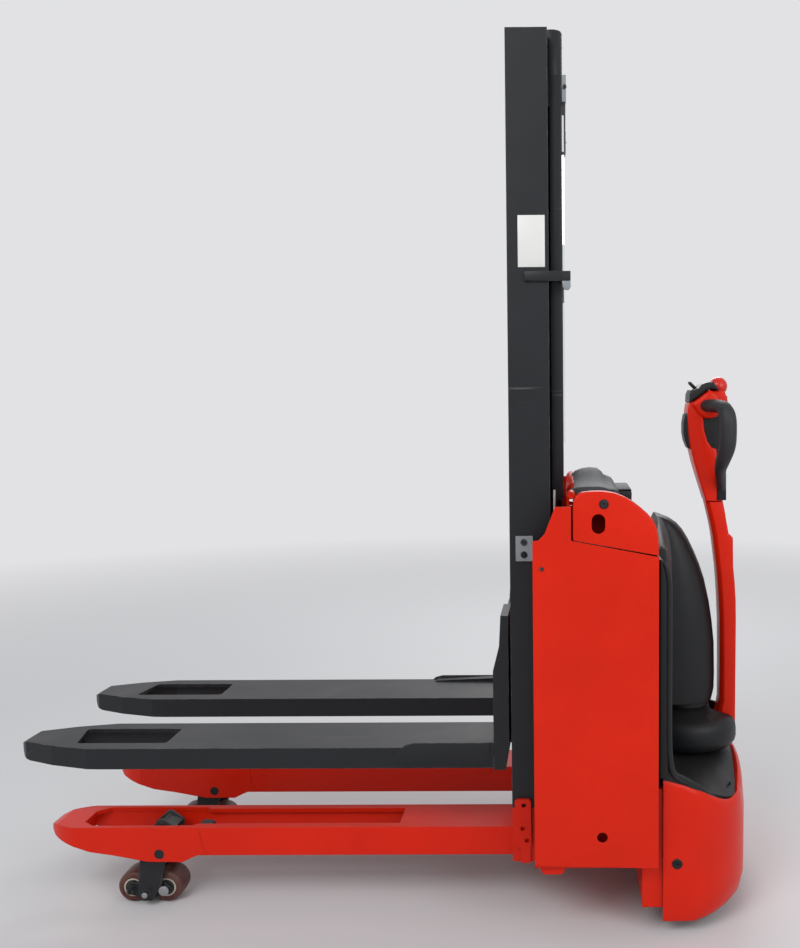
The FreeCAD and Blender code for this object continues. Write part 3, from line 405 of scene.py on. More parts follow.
def spot(x, y, z):
    return Vector((x + HEEL, y, z))


def metres(rows):
    """Rows of millimetres as rows of metres."""
    return [tuple(value / 1000 for value in row) for row in rows]


def between(table, at):
    """A value read off a table of (place, value) rows."""
    for (a, low), (b, high) in zip(table, table[1:]):
        if at <= b:
            return low + (high - low) * (at - a) / (b - a)
    return table[-1][1]


def held(value):
    """A share, kept from 0 to 1."""
    return min(1.0, max(0.0, value))


def flank(side, inner, outer):
    """The two y stations of a piece on one side, the lower first."""
    return sorted((side * inner, side * outer))


def clear_selection():
    if bpy.context.object and bpy.context.object.mode != "OBJECT":
        bpy.ops.object.mode_set(mode="OBJECT")
    bpy.ops.object.select_all(action="DESELECT")


def loft(name, rings, closed=False):
    """A ring of vertices, extruded from ring to ring, with its ends filled or joined to each other."""
    clear_selection()
    bpy.ops.mesh.primitive_circle_add(vertices=len(rings[0]), radius=1)
    piece = bpy.context.object
    piece.name = name
    for vertex, point in zip(piece.data.vertices, rings[0]):
        vertex.co = point
    bpy.ops.object.mode_set(mode="EDIT")
    bpy.ops.mesh.select_mode(type="EDGE")
    bpy.ops.mesh.select_all(action="SELECT")
    for ring in rings[1:]:
        bpy.ops.mesh.extrude_edges_move()
        mesh = bmesh.from_edit_mesh(piece.data)
        fresh = sorted((v for v in mesh.verts if v.select), key=lambda v: v.index)
        for vertex, point in zip(fresh, ring):
            vertex.co = point
        bmesh.update_edit_mesh(piece.data)
    if closed:
        bpy.ops.mesh.select_all(action="DESELECT")
        bpy.ops.mesh.select_non_manifold()
        bpy.ops.mesh.bridge_edge_loops()
    else:
        count = len(rings[0])
        for first in (0, count * (len(rings) - 1)):
            bpy.ops.mesh.select_all(action="DESELECT")
            mesh = bmesh.from_edit_mesh(piece.data)
            mesh.edges.ensure_lookup_table()
            for edge in mesh.edges:
                at_end = all(first <= v.index < first + count for v in edge.verts)
                edge.select_set(at_end and edge.is_boundary)
            bpy.ops.mesh.edge_face_add()
    bpy.ops.mesh.select_all(action="SELECT")
    bpy.ops.mesh.normals_make_consistent(inside=False)
    bpy.ops.object.mode_set(mode="OBJECT")
    return piece


def rounded_edges(piece, width, segments=2, limit=30.0):
    """Bevel the sharp edges with a modifier and apply it."""
    bevel = piece.modifiers.new("round", "BEVEL")
    bevel.width = width
    bevel.segments = segments
    bevel.limit_method = "ANGLE"
    bevel.angle_limit = math.radians(limit)
    bpy.context.view_layer.objects.active = piece
    bpy.ops.object.modifier_apply(modifier=bevel.name)
    return piece


def plate(name, outline, y0, y1, width=0.001, segments=2):
    """A side outline of (x, z) stations, filled and extruded across the machine."""
    rings = [[spot(x, y, z) for x, z in outline] for y in (y0, y1)]
    return rounded_edges(loft(name, rings), width, segments)


def block(name, low, high, width=0.001):
    """A cube stretched between two corner stations, its edges rounded."""
    (x0, y0, z0), (x1, y1, z1) = low, high
    return plate(name, [(x0, z0), (x1, z0), (x1, z1), (x0, z1)], y0, y1, width)


def turned(name, profile, centre, axis="Y", steps=48):
    """A profile of (along, radius) points spun round an axis through a station, as on a lathe."""
    frames = {"Y": ((0, 1, 0), (0, 0, 1)), "Z": ((0, 0, 1), (1, 0, 0))}
    along, out = [Vector(direction) for direction in frames[axis]]
    middle = spot(*centre)
    clear_selection()
    bpy.ops.mesh.primitive_circle_add(vertices=len(profile), radius=1)
    piece = bpy.context.object
    piece.name = name
    for vertex, (a, r) in zip(piece.data.vertices, profile):
        vertex.co = middle + along * a + out * r
    bpy.ops.object.mode_set(mode="EDIT")
    bpy.ops.mesh.select_all(action="SELECT")
    bpy.ops.mesh.spin(steps=steps, angle=2 * math.pi, center=middle, axis=along)
    bpy.ops.mesh.select_all(action="SELECT")
    bpy.ops.mesh.remove_doubles(threshold=WELD)
    bpy.ops.mesh.normals_make_consistent(inside=False)
    bpy.ops.object.mode_set(mode="OBJECT")
    return piece


def tube(name, points, radii, resolution=6, sides=4):
    """A bar along a smooth path, with its own thickness at each point."""
    clear_selection()
    bpy.ops.curve.primitive_nurbs_path_add()
    path = bpy.context.object
    path.name = name
    curve = path.data
    curve.splines.clear()
    spline = curve.splines.new("NURBS")
    spline.points.add(len(points) - 1)
    for point, place_, radius in zip(spline.points, points, radii):
        point.co = (*spot(*place_), 1)
        point.radius = radius
    spline.order_u = 3
    spline.use_endpoint_u = True
    curve.dimensions = "3D"
    curve.bevel_depth = 1.0
    curve.bevel_resolution = sides
    curve.resolution_u = resolution
    curve.use_fill_caps = True
    bpy.ops.object.convert(target="MESH")
    return bpy.context.object


def joined(name, pieces):
    clear_selection()
    for piece in pieces:
        piece.select_set(True)
    bpy.context.view_layer.objects.active = pieces[0]
    bpy.ops.object.join()
    pieces[0].name = name
    return pieces[0]


def copied(piece):
    """A copy with its own mesh."""
    twin = piece.copy()
    twin.data = piece.data.copy()
    bpy.context.collection.objects.link(twin)
    return twin


def settle(piece, finish, body, replaces=(), angle=35.0):
    """Apply the place, shade, dress the piece and let it ride on its body."""
    clear_selection()
    piece.select_set(True)
    bpy.context.view_layer.objects.active = piece
    bpy.ops.object.transform_apply(location=True, rotation=True, scale=True)
    bpy.ops.object.mode_set(mode="EDIT")
    bpy.ops.mesh.select_all(action="SELECT")
    bpy.ops.mesh.remove_doubles(threshold=WELD)
    bpy.ops.object.mode_set(mode="OBJECT")
    bpy.ops.object.shade_smooth_by_angle(angle=math.radians(angle))
    piece.data.materials.clear()
    piece.data.materials.append(FINISHES[finish])
    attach(piece, body)
    if replaces:
        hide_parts(*replaces)
    return piece


print("modelling helpers ready")

# %% [markdown]
# ## The drive cover
# The red skirt is a moulded shell with a rolled rim. Stretching a box would leave hard corners, and
# a boolean would leave a messy rim, so one cross-section of the wall is drawn as a ring of points
# and carried round the plan, from the front of one side to the front of the other. The more a
# stretch faces rearward, the more its foot turns in. The black lip inside the rim follows the same
# plan, the tray is lofted inward to a round hole, and the upright panel is a side outline
# extruded across the machine.

# %% Drive cover
COVER_FRONT = 0.393
COVER_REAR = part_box("drive_cover")[1].x - HEEL + 0.006
COVER_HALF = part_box("drive_cover")[1].y
CORNER_LENGTH = 0.172
CORNER_WIDTH = 0.149
CORNER_POWER = 1.2
REAR_BOW = 0.027
COVER_FOOT = 0.03
SIDE_RIM = metres([(393, 364), (410, 360.5), (447, 350), (480, 335.5), (520, 312), (550, 295.5),
                   (567.6, 289.5), (640, 288)])
REAR_RISE = 0.024
WALL_OUTSIDE = metres([(8, 0), (2, 1), (0, 8), (0, 24), (0, 60), (0, 130), (0, 190)])
WALL_RIM = metres([(0.5, 26), (2, 12), (5, 4), (9.5, 0.5)])
WALL_INSIDE = metres([(6, 100), (7, 60), (9, 24), (10, 1)])
TURN_IN = metres([(0, 34), (8, 24), (24, 9), (60, 0), (190, 0), (320, 10)])
LIP_FADE = 0.175
LIP_SWEEP = 0.04
STEER_X = 0.488
TRAY_HOLE = 0.1
TRAY_FLAT = 0.324
TRAY_SIDE = metres([(400, 364), (430, 363), (460, 358), (490, 345), (520, 322), (550, 294), (570, 276.5)])
TRAY_REAR = metres([(577, 242), (585, 200), (591, 150), (596, 105), (600.5, 60), (603.5, 20)])


def cover_plan():
    """Plan stations of one half of the cover, from the front of its side to the middle of its rear."""
    corner_x = COVER_REAR - CORNER_LENGTH
    bow_x = COVER_REAR - REAR_BOW
    bow_y = COVER_HALF - CORNER_WIDTH
    starts = [0, 0.006, 0.012, 0.018, 0.024, 0.031, 0.039, 0.048]
    points = [(COVER_FRONT + start, COVER_HALF) for start in starts]
    for step in range(1, 15):
        turn = step / 15 * math.pi / 2
        points.append((corner_x + (bow_x - corner_x) * math.sin(turn) ** CORNER_POWER,
                       bow_y + CORNER_WIDTH * math.cos(turn) ** CORNER_POWER))
    for step in range(9):
        y = bow_y * (1 - step / 8)
        points.append((COVER_REAR - REAR_BOW * (y / bow_y) ** 2, y))
    return points


def rim(x, y):
    """Height of the rolled rim: it falls along the side and is crowned across the rear."""
    across_rear = max(0.0, 1 - (y / (COVER_HALF - CORNER_WIDTH)) ** 2)
    return between(SIDE_RIM, x) + REAR_RISE * across_rear


def cover_section(top, rearward):
    """Inset and height round the wall: up its outside, over the rolled rim and down its inside."""
    shelf = 0.0165 + 0.004 * rearward
    dip = top - 0.005 * rearward
    outside = [(inset, COVER_FOOT + up) for inset, up in WALL_OUTSIDE]
    outside += [(inset, top - down) for inset, down in WALL_RIM]
    ledge = [(shelf - 0.0025, dip - 0.001), (shelf, dip - 0.006), (shelf, top - 0.034), (0.006, top - 0.04)]
    return outside + ledge + [(inset, COVER_FOOT + up) for inset, up in WALL_INSIDE]


def turn_in(z):
    """How far the rear face stands in from its fullest line at a height."""
    return between(TURN_IN, max(0.0, z - COVER_FOOT))


def along_cover(section):
    """Carry a section round the plan; section(x, y, rearward) gives its points of inset and height."""
    half = cover_plan()
    plan = [(x, -y) for x, y in half] + [(x, y) for x, y in reversed(half[:-1])]
    rings = []
    for i, (x, y) in enumerate(plan):
        before = Vector(plan[max(i - 1, 0)])
        after = Vector(plan[min(i + 1, len(plan) - 1)])
        along = (after - before).normalized()
        outward = Vector((along.y, -along.x))
        rearward = max(0.0, outward.x)
        ring = []
        for inset, z in section(x, y, rearward ** 2):
            inward = inset + turn_in(z) * rearward ** 1.5
            ring.append(spot(x - outward.x * inward, y - outward.y * inward, z))
        rings.append(ring)
    return rings


def drive_cover():
    rings = along_cover(lambda x, y, rearward: cover_section(rim(x, y), rearward))
    return settle(loft("drive_cover_shell", rings), "red_paint", "drive_unit", replaces=["drive_cover"])


def lip_section(x, y, rearward):
    """Black lip inside the rim, tall at its front where it sweeps up into the upright panel."""
    fade = held((x - COVER_FRONT) / LIP_FADE)
    base = rim(x, y) - 0.004 - 0.008 * rearward
    rise = 0.026 * (1 - fade) + 0.004 - 0.006 * rearward
    sweep = 0.03 * max(0.0, 1 - (x - COVER_FRONT) / LIP_SWEEP) ** 2.2
    top = base + rise + sweep
    inset = 0.0065 + 0.018 * rearward
    return [(inset, base), (inset + 0.0005, top - 0.004), (inset + 0.002, top - 0.001),
            (inset + 0.004, top), (inset + 0.006, top - 0.001), (inset + 0.008, top - 0.004),
            (inset + 0.009, base - 0.004)]


def drive_lip():
    return settle(loft("drive_lip", along_cover(lip_section)), "black_plastic", "drive_unit", angle=50)


def drive_tray():
    """Black shelf in the cover, lofted from its outline down to a flat round hole under the turret."""
    front = [(0.4, 0.364 - 0.0728 * step) for step in range(1, 5)]
    right = TRAY_SIDE + TRAY_REAR
    outline = [(x, -y) for x, y in right] + [(x, y) for x, y in reversed(right)] + front + [(0.4, 0.0)]
    outline += [(x, -y) for x, y in reversed(front)]
    edge, fall, hole = [], [], []
    for x, y in outline:
        away = Vector((x - STEER_X, y))
        edge.append(spot(x, y, rim(max(x, COVER_FRONT), y) - 0.003))
        middle = Vector((STEER_X, 0)) + away.normalized() * max(TRAY_HOLE + 0.012, away.length * 0.72)
        fall.append(spot(middle.x, middle.y, TRAY_FLAT + 0.25 * (edge[-1].z - TRAY_FLAT)))
        inner = Vector((STEER_X, 0)) + away.normalized() * TRAY_HOLE
        hole.append(spot(inner.x, inner.y, TRAY_FLAT))
    under = [[point - Vector((0, 0, 0.006)) for point in ring] for ring in (hole, fall, edge)]
    tray = loft("drive_tray_shelf", [edge, fall, hole] + under, closed=True)
    settle(tray, "black_plastic", "drive_unit", replaces=["drive_tray"], angle=40)
    for row, count in ((0.23, 3), (0.246, 2)):
        for i in range(count):
            for side in (-1, 1):
                x = 0.548 + 0.009 * i
                y = side * row
                top = (x + 0.0035, y + 0.004, 0.2985 + 0.002 * i)
                rib = block("tread_rib", (x, y - 0.004, 0.296), top, 0.0008)
                settle(rib, "black_plastic", "drive_unit")


SHROUD_LINE = metres([(384, 366), (404.5, 366), (404.5, 600), (404.5, 790), (403.5, 820), (400.5, 842),
                      (396, 858), (390, 866), (384, 868)])


def drive_shroud():
    return settle(plate("drive_shroud_shell", SHROUD_LINE, -0.3715, 0.3715, 0.004, 3), "black_plastic",
                  "drive_unit", replaces=["drive_shroud"])


UPRIGHT_EDGE = metres([(450, 352), (428, 360), (413, 380), (406.5, 420), (405.5, 500), (405.5, 780),
                       (405, 815), (402, 838), (397.5, 852), (393, 860), (389, 864)])


def upright_lip():
    """Rolled edge of the upright panel, from the cover up and over its top, on each side."""
    for side in (-1, 1):
        radii = [0.003, 0.006] + [0.0075] * (len(UPRIGHT_EDGE) - 4) + [0.006, 0.003]
        lip = tube("upright_lip", [(x, side * 0.3665, z) for x, z in UPRIGHT_EDGE], radii, 8)
        settle(lip, "black_plastic", "drive_unit", angle=60)


drive_cover()
drive_lip()
drive_tray()
drive_shroud()
upright_lip()
print("cover made, rear at", round(COVER_REAR, 3))

# %% [markdown]
# ## The motor cover
# The black hump behind the battery is a thick moulding: wide shoulders against the upright panel
# and a rounded spine that the tiller swings past. Its side view fixes how far back the spine stands
# at each height, and a superellipse carries it sideways into the shoulders. It narrows towards its
# top, so that the tiller has room when it is steered to its limits.

# %% Motor cover
SPINE_HALF = 0.081
SPINE_POWER = 2.2
WING_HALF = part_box("motor_cover")[1].y
SHROUD_REAR = 0.405
SPINE_LINE = metres([(439.5, 560), (470, 567), (511, 568), (591, 566.5), (644, 561), (697, 553), (756, 540),
                     (795, 527), (829, 513), (861, 497.5), (885, 483), (902, 468), (914, 450), (921, 430),
                     (924.5, 414)])
WING_REACH = 0.035
WING_ROUND = 0.8
SHOULDER_START = SPINE_HALF + 0.006
SPINE_TRIM = 0.006
SPINE_ROOM = metres([(430, 81), (660, 79), (700, 76), (750, 72.5), (790, 69), (835, 63.5), (866, 59.5),
                     (905, 52.5), (940, 43)])


def shoulder(y):
    """Share of the shoulder's depth left at a distance from the middle: full inside, none at its end."""
    out = max(0.0, y - SHOULDER_START) / (WING_HALF - SHOULDER_START)
    return math.sqrt(max(0.0, 1 - out ** 1.5))


def wing_line(z):
    """Rear face of the shoulders: upright, then rounding over into the top."""
    fall = held((z - WING_ROUND) / (SPINE_LINE[-1][0] - WING_ROUND))
    return (WING_REACH - 0.003) * math.sqrt(max(0.0, 1 - fall ** 3)) + 0.003


def motor_cover():
    shares = [0, 0.25, 0.5, 0.68, 0.82, 0.91, 0.96, 0.985, 1.0]
    outer = [SPINE_HALF + 0.004, 0.1, 0.13, 0.16, 0.19, 0.215, 0.235, 0.248, 0.256, 0.26, WING_HALF]
    rings = []
    for z, spine in SPINE_LINE:
        half = []
        room = between(SPINE_ROOM, z)
        for y in [room * share for share in shares] + outer:
            wing = SHROUD_REAR + wing_line(z) * shoulder(y)
            share = min(1.0, y / room)
            x = wing + max(0.0, spine - SPINE_TRIM - wing) * (1 - share ** SPINE_POWER) ** (1 / SPINE_POWER)
            stoop = 0.048 * held((y - 0.06) / 0.15) * ((z - 0.44) / 0.48) ** 3
            sag = 0.05 * (y / WING_HALF) ** 2 * max(0.0, 1 - (z - 0.431) / 0.25)
            half.append((x, y, z - stoop + sag))
        forward = 0.02 * held((z - 0.82) / 0.08)
        half.append((SHROUD_REAR - 0.002 - forward, WING_HALF, half[-1][2]))
        left = [spot(x, y, z) for x, y, z in half[1:]]
        rings.append([spot(x, -y, z) for x, y, z in reversed(half)] + left)
    return settle(loft("motor_cover_shell", rings), "black_plastic", "drive_unit", replaces=["motor_cover"],
                  angle=50)


motor_cover()
print("motor cover made")

# %% [markdown]
# ## The turret
# The black bun under the tiller turns with it. It is a body of revolution, so its profile is spun as
# on a lathe, and the slot for the tiller's foot is cut with a boolean, which leaves crisp cheeks.

# %% Turret
BOSS_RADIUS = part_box("steer_boss")[1].y
BOSS_BOTTOM = 0.329
BOSS_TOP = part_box("steer_boss")[1].z
PIN_X = 0.578
PIN_Z = 0.37
ARM_HALF = 0.038
BUN_BORE = 0.0585
BUN_SIDE = metres([(0, 20), (4, 9), (12, 3), (24, 0.4), (42, 0.4), (57, 2), (67, 6), (73.5, 12), (78, 20),
                   (83.5, 36), (89, 51)])


def cut_from(piece, cutter):
    """Take one solid away from another with a boolean, and remove the cutter."""
    clear_selection()
    knife = piece.modifiers.new("cut", "BOOLEAN")
    knife.operation = "DIFFERENCE"
    knife.solver = "EXACT"
    knife.object = cutter
    bpy.context.view_layer.objects.active = piece
    bpy.ops.object.modifier_apply(modifier=knife.name)
    bpy.data.objects.remove(cutter)


def turret():
    r = BOSS_RADIUS + 0.01
    profile = [(0.302, BUN_BORE), (0.302, 0.094), (BOSS_BOTTOM - 0.002, 0.097)]
    profile += [(BOSS_BOTTOM + up, r - inset) for up, inset in BUN_SIDE]
    profile += [(BOSS_TOP - 0.003, r - 0.064), (BOSS_TOP, BUN_BORE)]
    bun = turned("turret_bun", profile, (STEER_X, 0, 0), axis="Z", steps=64)
    gap = ARM_HALF + 0.005
    far_corner = (STEER_X + r + 0.02, gap, BOSS_TOP + 0.02)
    cut_from(bun, block("foot_slot", (PIN_X - 0.032, -gap, 0.28), far_corner, 0.0005))
    return settle(bun, "black_plastic", "steering", replaces=["steer_boss"], angle=32)


turret()
print("turret made")

# %% [markdown]
# ## The tiller
# The arm is one long bar whose section changes along it, so it is lofted: a chamfered rectangle at
# each height, with the wide chamfer that catches the light on its front edges. The head grows out
# of it. A bevelled plate would give it flat cheeks, so it is lofted across instead, its outline
# drawn in at both sides, and the looped grips are bars bent along a path.

# %% Tiller arm
ARM_STATIONS = metres([(344.5, 572, 592, 4), (350, 561.5, 603, 6), (360, 554, 610, 8), (372, 552.5, 612, 9),
                       (388, 559, 613, 10), (404, 568, 613, 11), (440, 573.5, 613, 12), (573, 573, 613, 12),
                       (650, 572, 613, 12), (704, 569.5, 612, 12), (750, 566.5, 609, 12),
                       (790, 563, 605, 12), (835, 557.5, 604, 12), (866, 553.5, 603.5, 12),
                       (872, 552.5, 598, 12), (876, 552, 592.5, 12), (905, 546.5, 587, 12),
                       (930, 540.5, 583, 12), (959.5, 533, 577, 12)])


def arm_ring(z, front, rear, half, front_cut, rear_cut):
    """The arm's section at a height: a rectangle with a chamfer of its own on each edge."""
    outline = [(front, half - front_cut), (front + front_cut * 0.8, half), (rear - rear_cut, half),
               (rear, half - rear_cut)]
    ring = outline + [(x, -y) for x, y in reversed(outline)]
    return [spot(x, y, z) for x, y in ring]


def tiller_arm():
    rings = [arm_ring(z, front, rear, ARM_HALF, cut, 0.004) for z, front, rear, cut in ARM_STATIONS]
    arm = rounded_edges(loft("tiller_bar", rings), 0.0015, 2, 24)
    pin = turned("tiller_pin", metres([(-62, 0), (-62, 8), (-60, 10), (60, 10), (62, 8), (62, 0)]),
                 (PIN_X, 0, PIN_Z), steps=32)
    settle(pin, "steel", "tiller")
    return settle(arm, "red_paint", "tiller", replaces=["tiller_arm"])


tiller_arm()
print("arm made")

# %% Tiller head and grips
BALL = 0.0235
HEAD_LINE = metres([(533, 961), (514, 1020), (502, 1060), (492.5, 1100), (488.5, 1130), (486, 1160),
                    (485, 1190), (488, 1209), (498, 1216), (520, 1200), (525, 1165), (528, 1140),
                    (536, 1113), (546, 1098), (558, 1094), (562, 1070), (566, 1040), (570, 1000),
                    (576, 961)])
CORE_LINE = metres([(510, 1080), (503, 1180), (506, 1210), (530, 1236), (560, 1238), (583, 1222),
                    (588, 1190), (580, 1150), (578, 1100), (578, 1060), (550, 1060)])
KNUCKLE_LINE = metres([(493, 1208), (504, 1218), (516, 1226), (527, 1235), (538, 1243), (548, 1241),
                       (557, 1235), (566, 1223), (569, 1208), (567, 1190), (559, 1176), (544, 1171),
                       (528, 1172), (516, 1178), (507, 1187), (499, 1198)])
CAP_LINE = metres([(488.5, 1212), (489.5, 1233), (494, 1243), (512, 1248), (519, 1257), (533, 1262),
                   (548, 1264), (564, 1244), (556, 1242), (544, 1246), (529, 1240), (510, 1225)])


def drawn_in(outline, amount):
    """The same outline, pulled inward along its own normals, whichever way round it is drawn."""
    signed = sum(a[0] * b[1] - b[0] * a[1] for a, b in zip(outline, outline[1:] + outline[:1]))
    amount = amount if signed > 0 else -amount
    result = []
    for i, point in enumerate(outline):
        before = Vector(outline[i - 1])
        after = Vector(outline[(i + 1) % len(outline)])
        along = (after - before).normalized()
        result.append((point[0] - along.y * amount, point[1] + along.x * amount))
    return result


def drawn_rings(outline, steps):
    """The outline at each y station of the steps, pulled inward by the step's amount."""
    return [[spot(x, y, z) for x, z in drawn_in(outline, amount)] for y, amount in steps]


def pillow(name, outline, half, round_by, finish, replaces=()):
    """An outline across the tiller whose cheeks are rounded like a moulding, not cut like a plate."""
    depths = [(1.0, 1.0), (0.9, 0.56), (0.7, 0.28), (0.4, 0.08), (0.0, 0.0)]
    cheek = [(half - round_by * (1 - depth), round_by * amount) for depth, amount in depths]
    steps = [(-y, amount) for y, amount in cheek] + cheek[::-1]
    return settle(loft(name, drawn_rings(outline, steps)), finish, "tiller", replaces=replaces, angle=40)


def tiller_head():
    pillow("head_body", HEAD_LINE, 0.044, 0.005, "red_paint", replaces=["tiller_head"])
    pillow("head_core", CORE_LINE, 0.036, 0.004, "black_plastic")
    pillow("head_knuckles", KNUCKLE_LINE, 0.052, 0.011, "red_paint")
    pillow("head_cap", CAP_LINE, 0.049, 0.005, "black_plastic")
    pillow("head_pad", metres([(485.5, 1186), (480, 1180), (476.5, 1160), (476.5, 1135), (480, 1115),
                               (487.5, 1096), (495, 1093), (495, 1180)]), 0.03, 0.004, "black_plastic")
    pillow("head_rear_switch", metres([(578, 1205), (578, 1228), (589.5, 1228), (591.5, 1205)]), 0.012,
           0.003, "black_plastic")
    bow = metres([(512, -12, 1244), (500, -12, 1256), (494, -10, 1262), (494, 10, 1262), (500, 12, 1256),
                  (512, 12, 1244)])
    lever = tube("head_lever", bow, [0.0035] * len(bow), 8, 3)
    settle(lever, "black_plastic", "tiller", angle=60)
    pillow("head_back", metres([(545, 1238), (562, 1244), (579, 1240), (586, 1222), (585, 1195),
                                (560, 1190)]), 0.04, 0.006, "red_paint")
    ball = [(BALL * math.sin(math.radians(turn)), max(0.0004, BALL * math.cos(math.radians(turn))))
            for turn in range(-90, 91, 12)]
    button = turned("reversing_button", ball, (0.5675, 0, 1.2525))
    settle(button, "red_plastic", "tiller", angle=50)


def tiller_grip(side):
    path = metres([(524, 30, 1203), (532, 52, 1204), (548, 95, 1204), (563, 138, 1200), (569, 154, 1178),
                   (569.5, 153, 1140), (569, 150, 1105), (560, 132, 1070), (558, 100, 1045),
                   (568, 58, 1012), (571, 40, 992)])
    radii = [0.015, 0.0155, 0.0165, 0.018, 0.0205, 0.0212, 0.0205, 0.018, 0.0145, 0.0125, 0.012]
    return tube("grip", [(x, side * y, z) for x, y, z in path], radii, 10)


def tiller_grips():
    both = joined("tiller_grip_loops", [tiller_grip(-1), tiller_grip(1)])
    settle(both, "grip_moulding", "tiller", replaces=["tiller_grips"], angle=50)
    pillow("grip_bridge", metres([(560, 964), (560, 1030), (562, 1056), (579, 1058), (583, 1030),
                                  (583.5, 964)]), 0.0475, 0.003, "black_plastic")


tiller_head()
tiller_grips()
print("head made")

# %% [markdown]
# ## The hood
# The lid is pressed from one sheet: a raised cheek along its right side and a lower skin beyond it,
# where the console sits. Its outline, with the sheet's inside as the way back, is one ring, carried
# across from cheek to cheek. At each cheek the inside drops to the lower edge, which closes it, and
# the grip slots are cut through with a boolean.

# %% Hood
HOOD_LINE = metres([(191, 916), (191, 960), (191, 990), (193, 1004), (197, 1012.5), (204, 1018.2),
                    (212, 1021.3), (231, 1023.5), (247, 1023.8), (262, 1023.2), (284, 1019), (304, 1011.2),
                    (321, 1001.5), (338, 988.5), (355, 973.5), (366, 960.5), (373.5, 946), (378, 927),
                    (379.5, 905), (379.5, 881.5)])
HOOD_SHEET = 0.005
HOOD_RECESS = 0.018
HOOD_FALL = 0.018
SLOT_X = 0.247
SLOT_Z = 0.952
SLOT_RADIUS = 0.015
SLOT_STRAIGHT = 0.007


def hood_edge(x):
    """Height of the slanting lower edge."""
    (x0, z0), (x1, z1) = HOOD_LINE[0], HOOD_LINE[-1]
    return z0 + (z1 - z0) * (x - x0) / (x1 - x0)


def inward(line, amounts):
    """Points of an open line moved along its inner normal by an amount each."""
    result = []
    for i, (x, z) in enumerate(line):
        before = Vector(line[max(i - 1, 0)])
        after = Vector(line[min(i + 1, len(line) - 1)])
        along = (after - before).normalized()
        result.append((x + along.y * amounts[i], z - along.x * amounts[i]))
    return result


def hood_ring(y, edge, recess, closed):
    """The lid's section at a station; a closed one has its inside dropped to the lower edge."""
    share = [held((z - 0.9) / 0.07) for x, z in HOOD_LINE]
    outside = inward(HOOD_LINE, [edge + recess * s for s in share])
    if closed:
        inside = [(x, hood_edge(x)) for x, z in inward(HOOD_LINE, [HOOD_SHEET] * len(HOOD_LINE))]
    else:
        inside = inward(HOOD_LINE, [HOOD_SHEET + recess * s for s in share])
    return [spot(x, y, z) for x, z in outside + inside[::-1]]


def grip_slot():
    """Outline of the upright slot with round ends."""
    turns = [math.pi * i / 10 for i in range(11)]
    return [(SLOT_X + way * SLOT_RADIUS * math.cos(turn),
             SLOT_Z + way * (SLOT_STRAIGHT + SLOT_RADIUS * math.sin(turn)))
            for way in (1, -1) for turn in turns]


def hood():
    half = BODY_HALF
    stations = [(half, 0.0035, 0, True), (half - 0.0007, 0.0015, 0, True), (half - 0.002, 0.0004, 0, True),
                (half - 0.0035, 0, 0, True), (half - 0.0049, 0, 0, True), (half - 0.005, 0, 0, False),
                (half - 0.024, 0, 0, False), (half - 0.027, 0, 0.0012, False),
                (half - 0.0295, 0, 0.005, False), (half - 0.0325, 0, 0.0125, False),
                (half - 0.036, 0, HOOD_RECESS, False)]
    rings = [hood_ring(-y, edge, recess, closed) for y, edge, recess, closed in stations]
    low_skin = HOOD_RECESS + HOOD_FALL
    rings += [hood_ring(y, edge, low_skin, closed) for y, edge, recess, closed in reversed(stations[:6])]
    shell = loft("hood_shell", rings)
    for side in (-1, 1):
        ends = flank(side, half - 0.02, half + 0.01)
        cut_from(shell, loft("slot_cutter", [[spot(x, y, z) for x, z in grip_slot()] for y in ends]))
    settle(shell, "red_paint", "hood", replaces=["hood"])
    knuckles = [turned("hinge_knuckle", metres([(-15, 4), (-15, 8), (-14, 9), (14, 9), (15, 8), (15, 4)]),
                       (0.188, side * 0.2605, 1.002), steps=24) for side in (-1, 1)]
    settle(joined("hood_knuckles", knuckles), "red_paint", "hood")


hood()
print("hood made")

# %% [markdown]
# ## The console
# On the hood's lower skin sits a grey moulded dish with a raised back, a red wall in front of it and
# a black switch block with a grey lid behind. The dish is lofted across the machine: each station
# has its own height, low at the driver's right hand and rising to the back of the dish, so its
# surface is hollow where a box would be flat.

# %% Console
DISH_LINE = metres([(188, 1000), (188, 1012), (192, 1023), (202, 1033), (218, 1039.5), (238, 1042.5),
                    (258, 1040.5), (270.5, 1031), (277, 1021), (290, 1012), (302, 1005), (308, 990),
                    (300, 965), (230, 970)])
DISH_FLOOR = 1.0085


def dish_ring(y, rise, draw):
    """The dish's side view at one station; rise 0 is its low floor and 1 the crest of its back."""
    ring = []
    for x, z in DISH_LINE:
        height = z if z < DISH_FLOOR else DISH_FLOOR + (z - DISH_FLOOR) * rise
        ring.append(spot(x + (0.25 - x) * draw, y, height))
    return ring


def across(name, outline, y0, y1, draw, finish):
    """An outline carried across the hood, its ends drawn in so that no edge is sharp."""
    steps = [(y0, draw), (y0 + draw * 0.35, draw * 0.35), (y0 + draw, 0),
             (y1 - draw, 0), (y1 - draw * 0.35, draw * 0.35), (y1, draw)]
    return settle(loft(name, drawn_rings(outline, steps)), finish, "hood", angle=40)


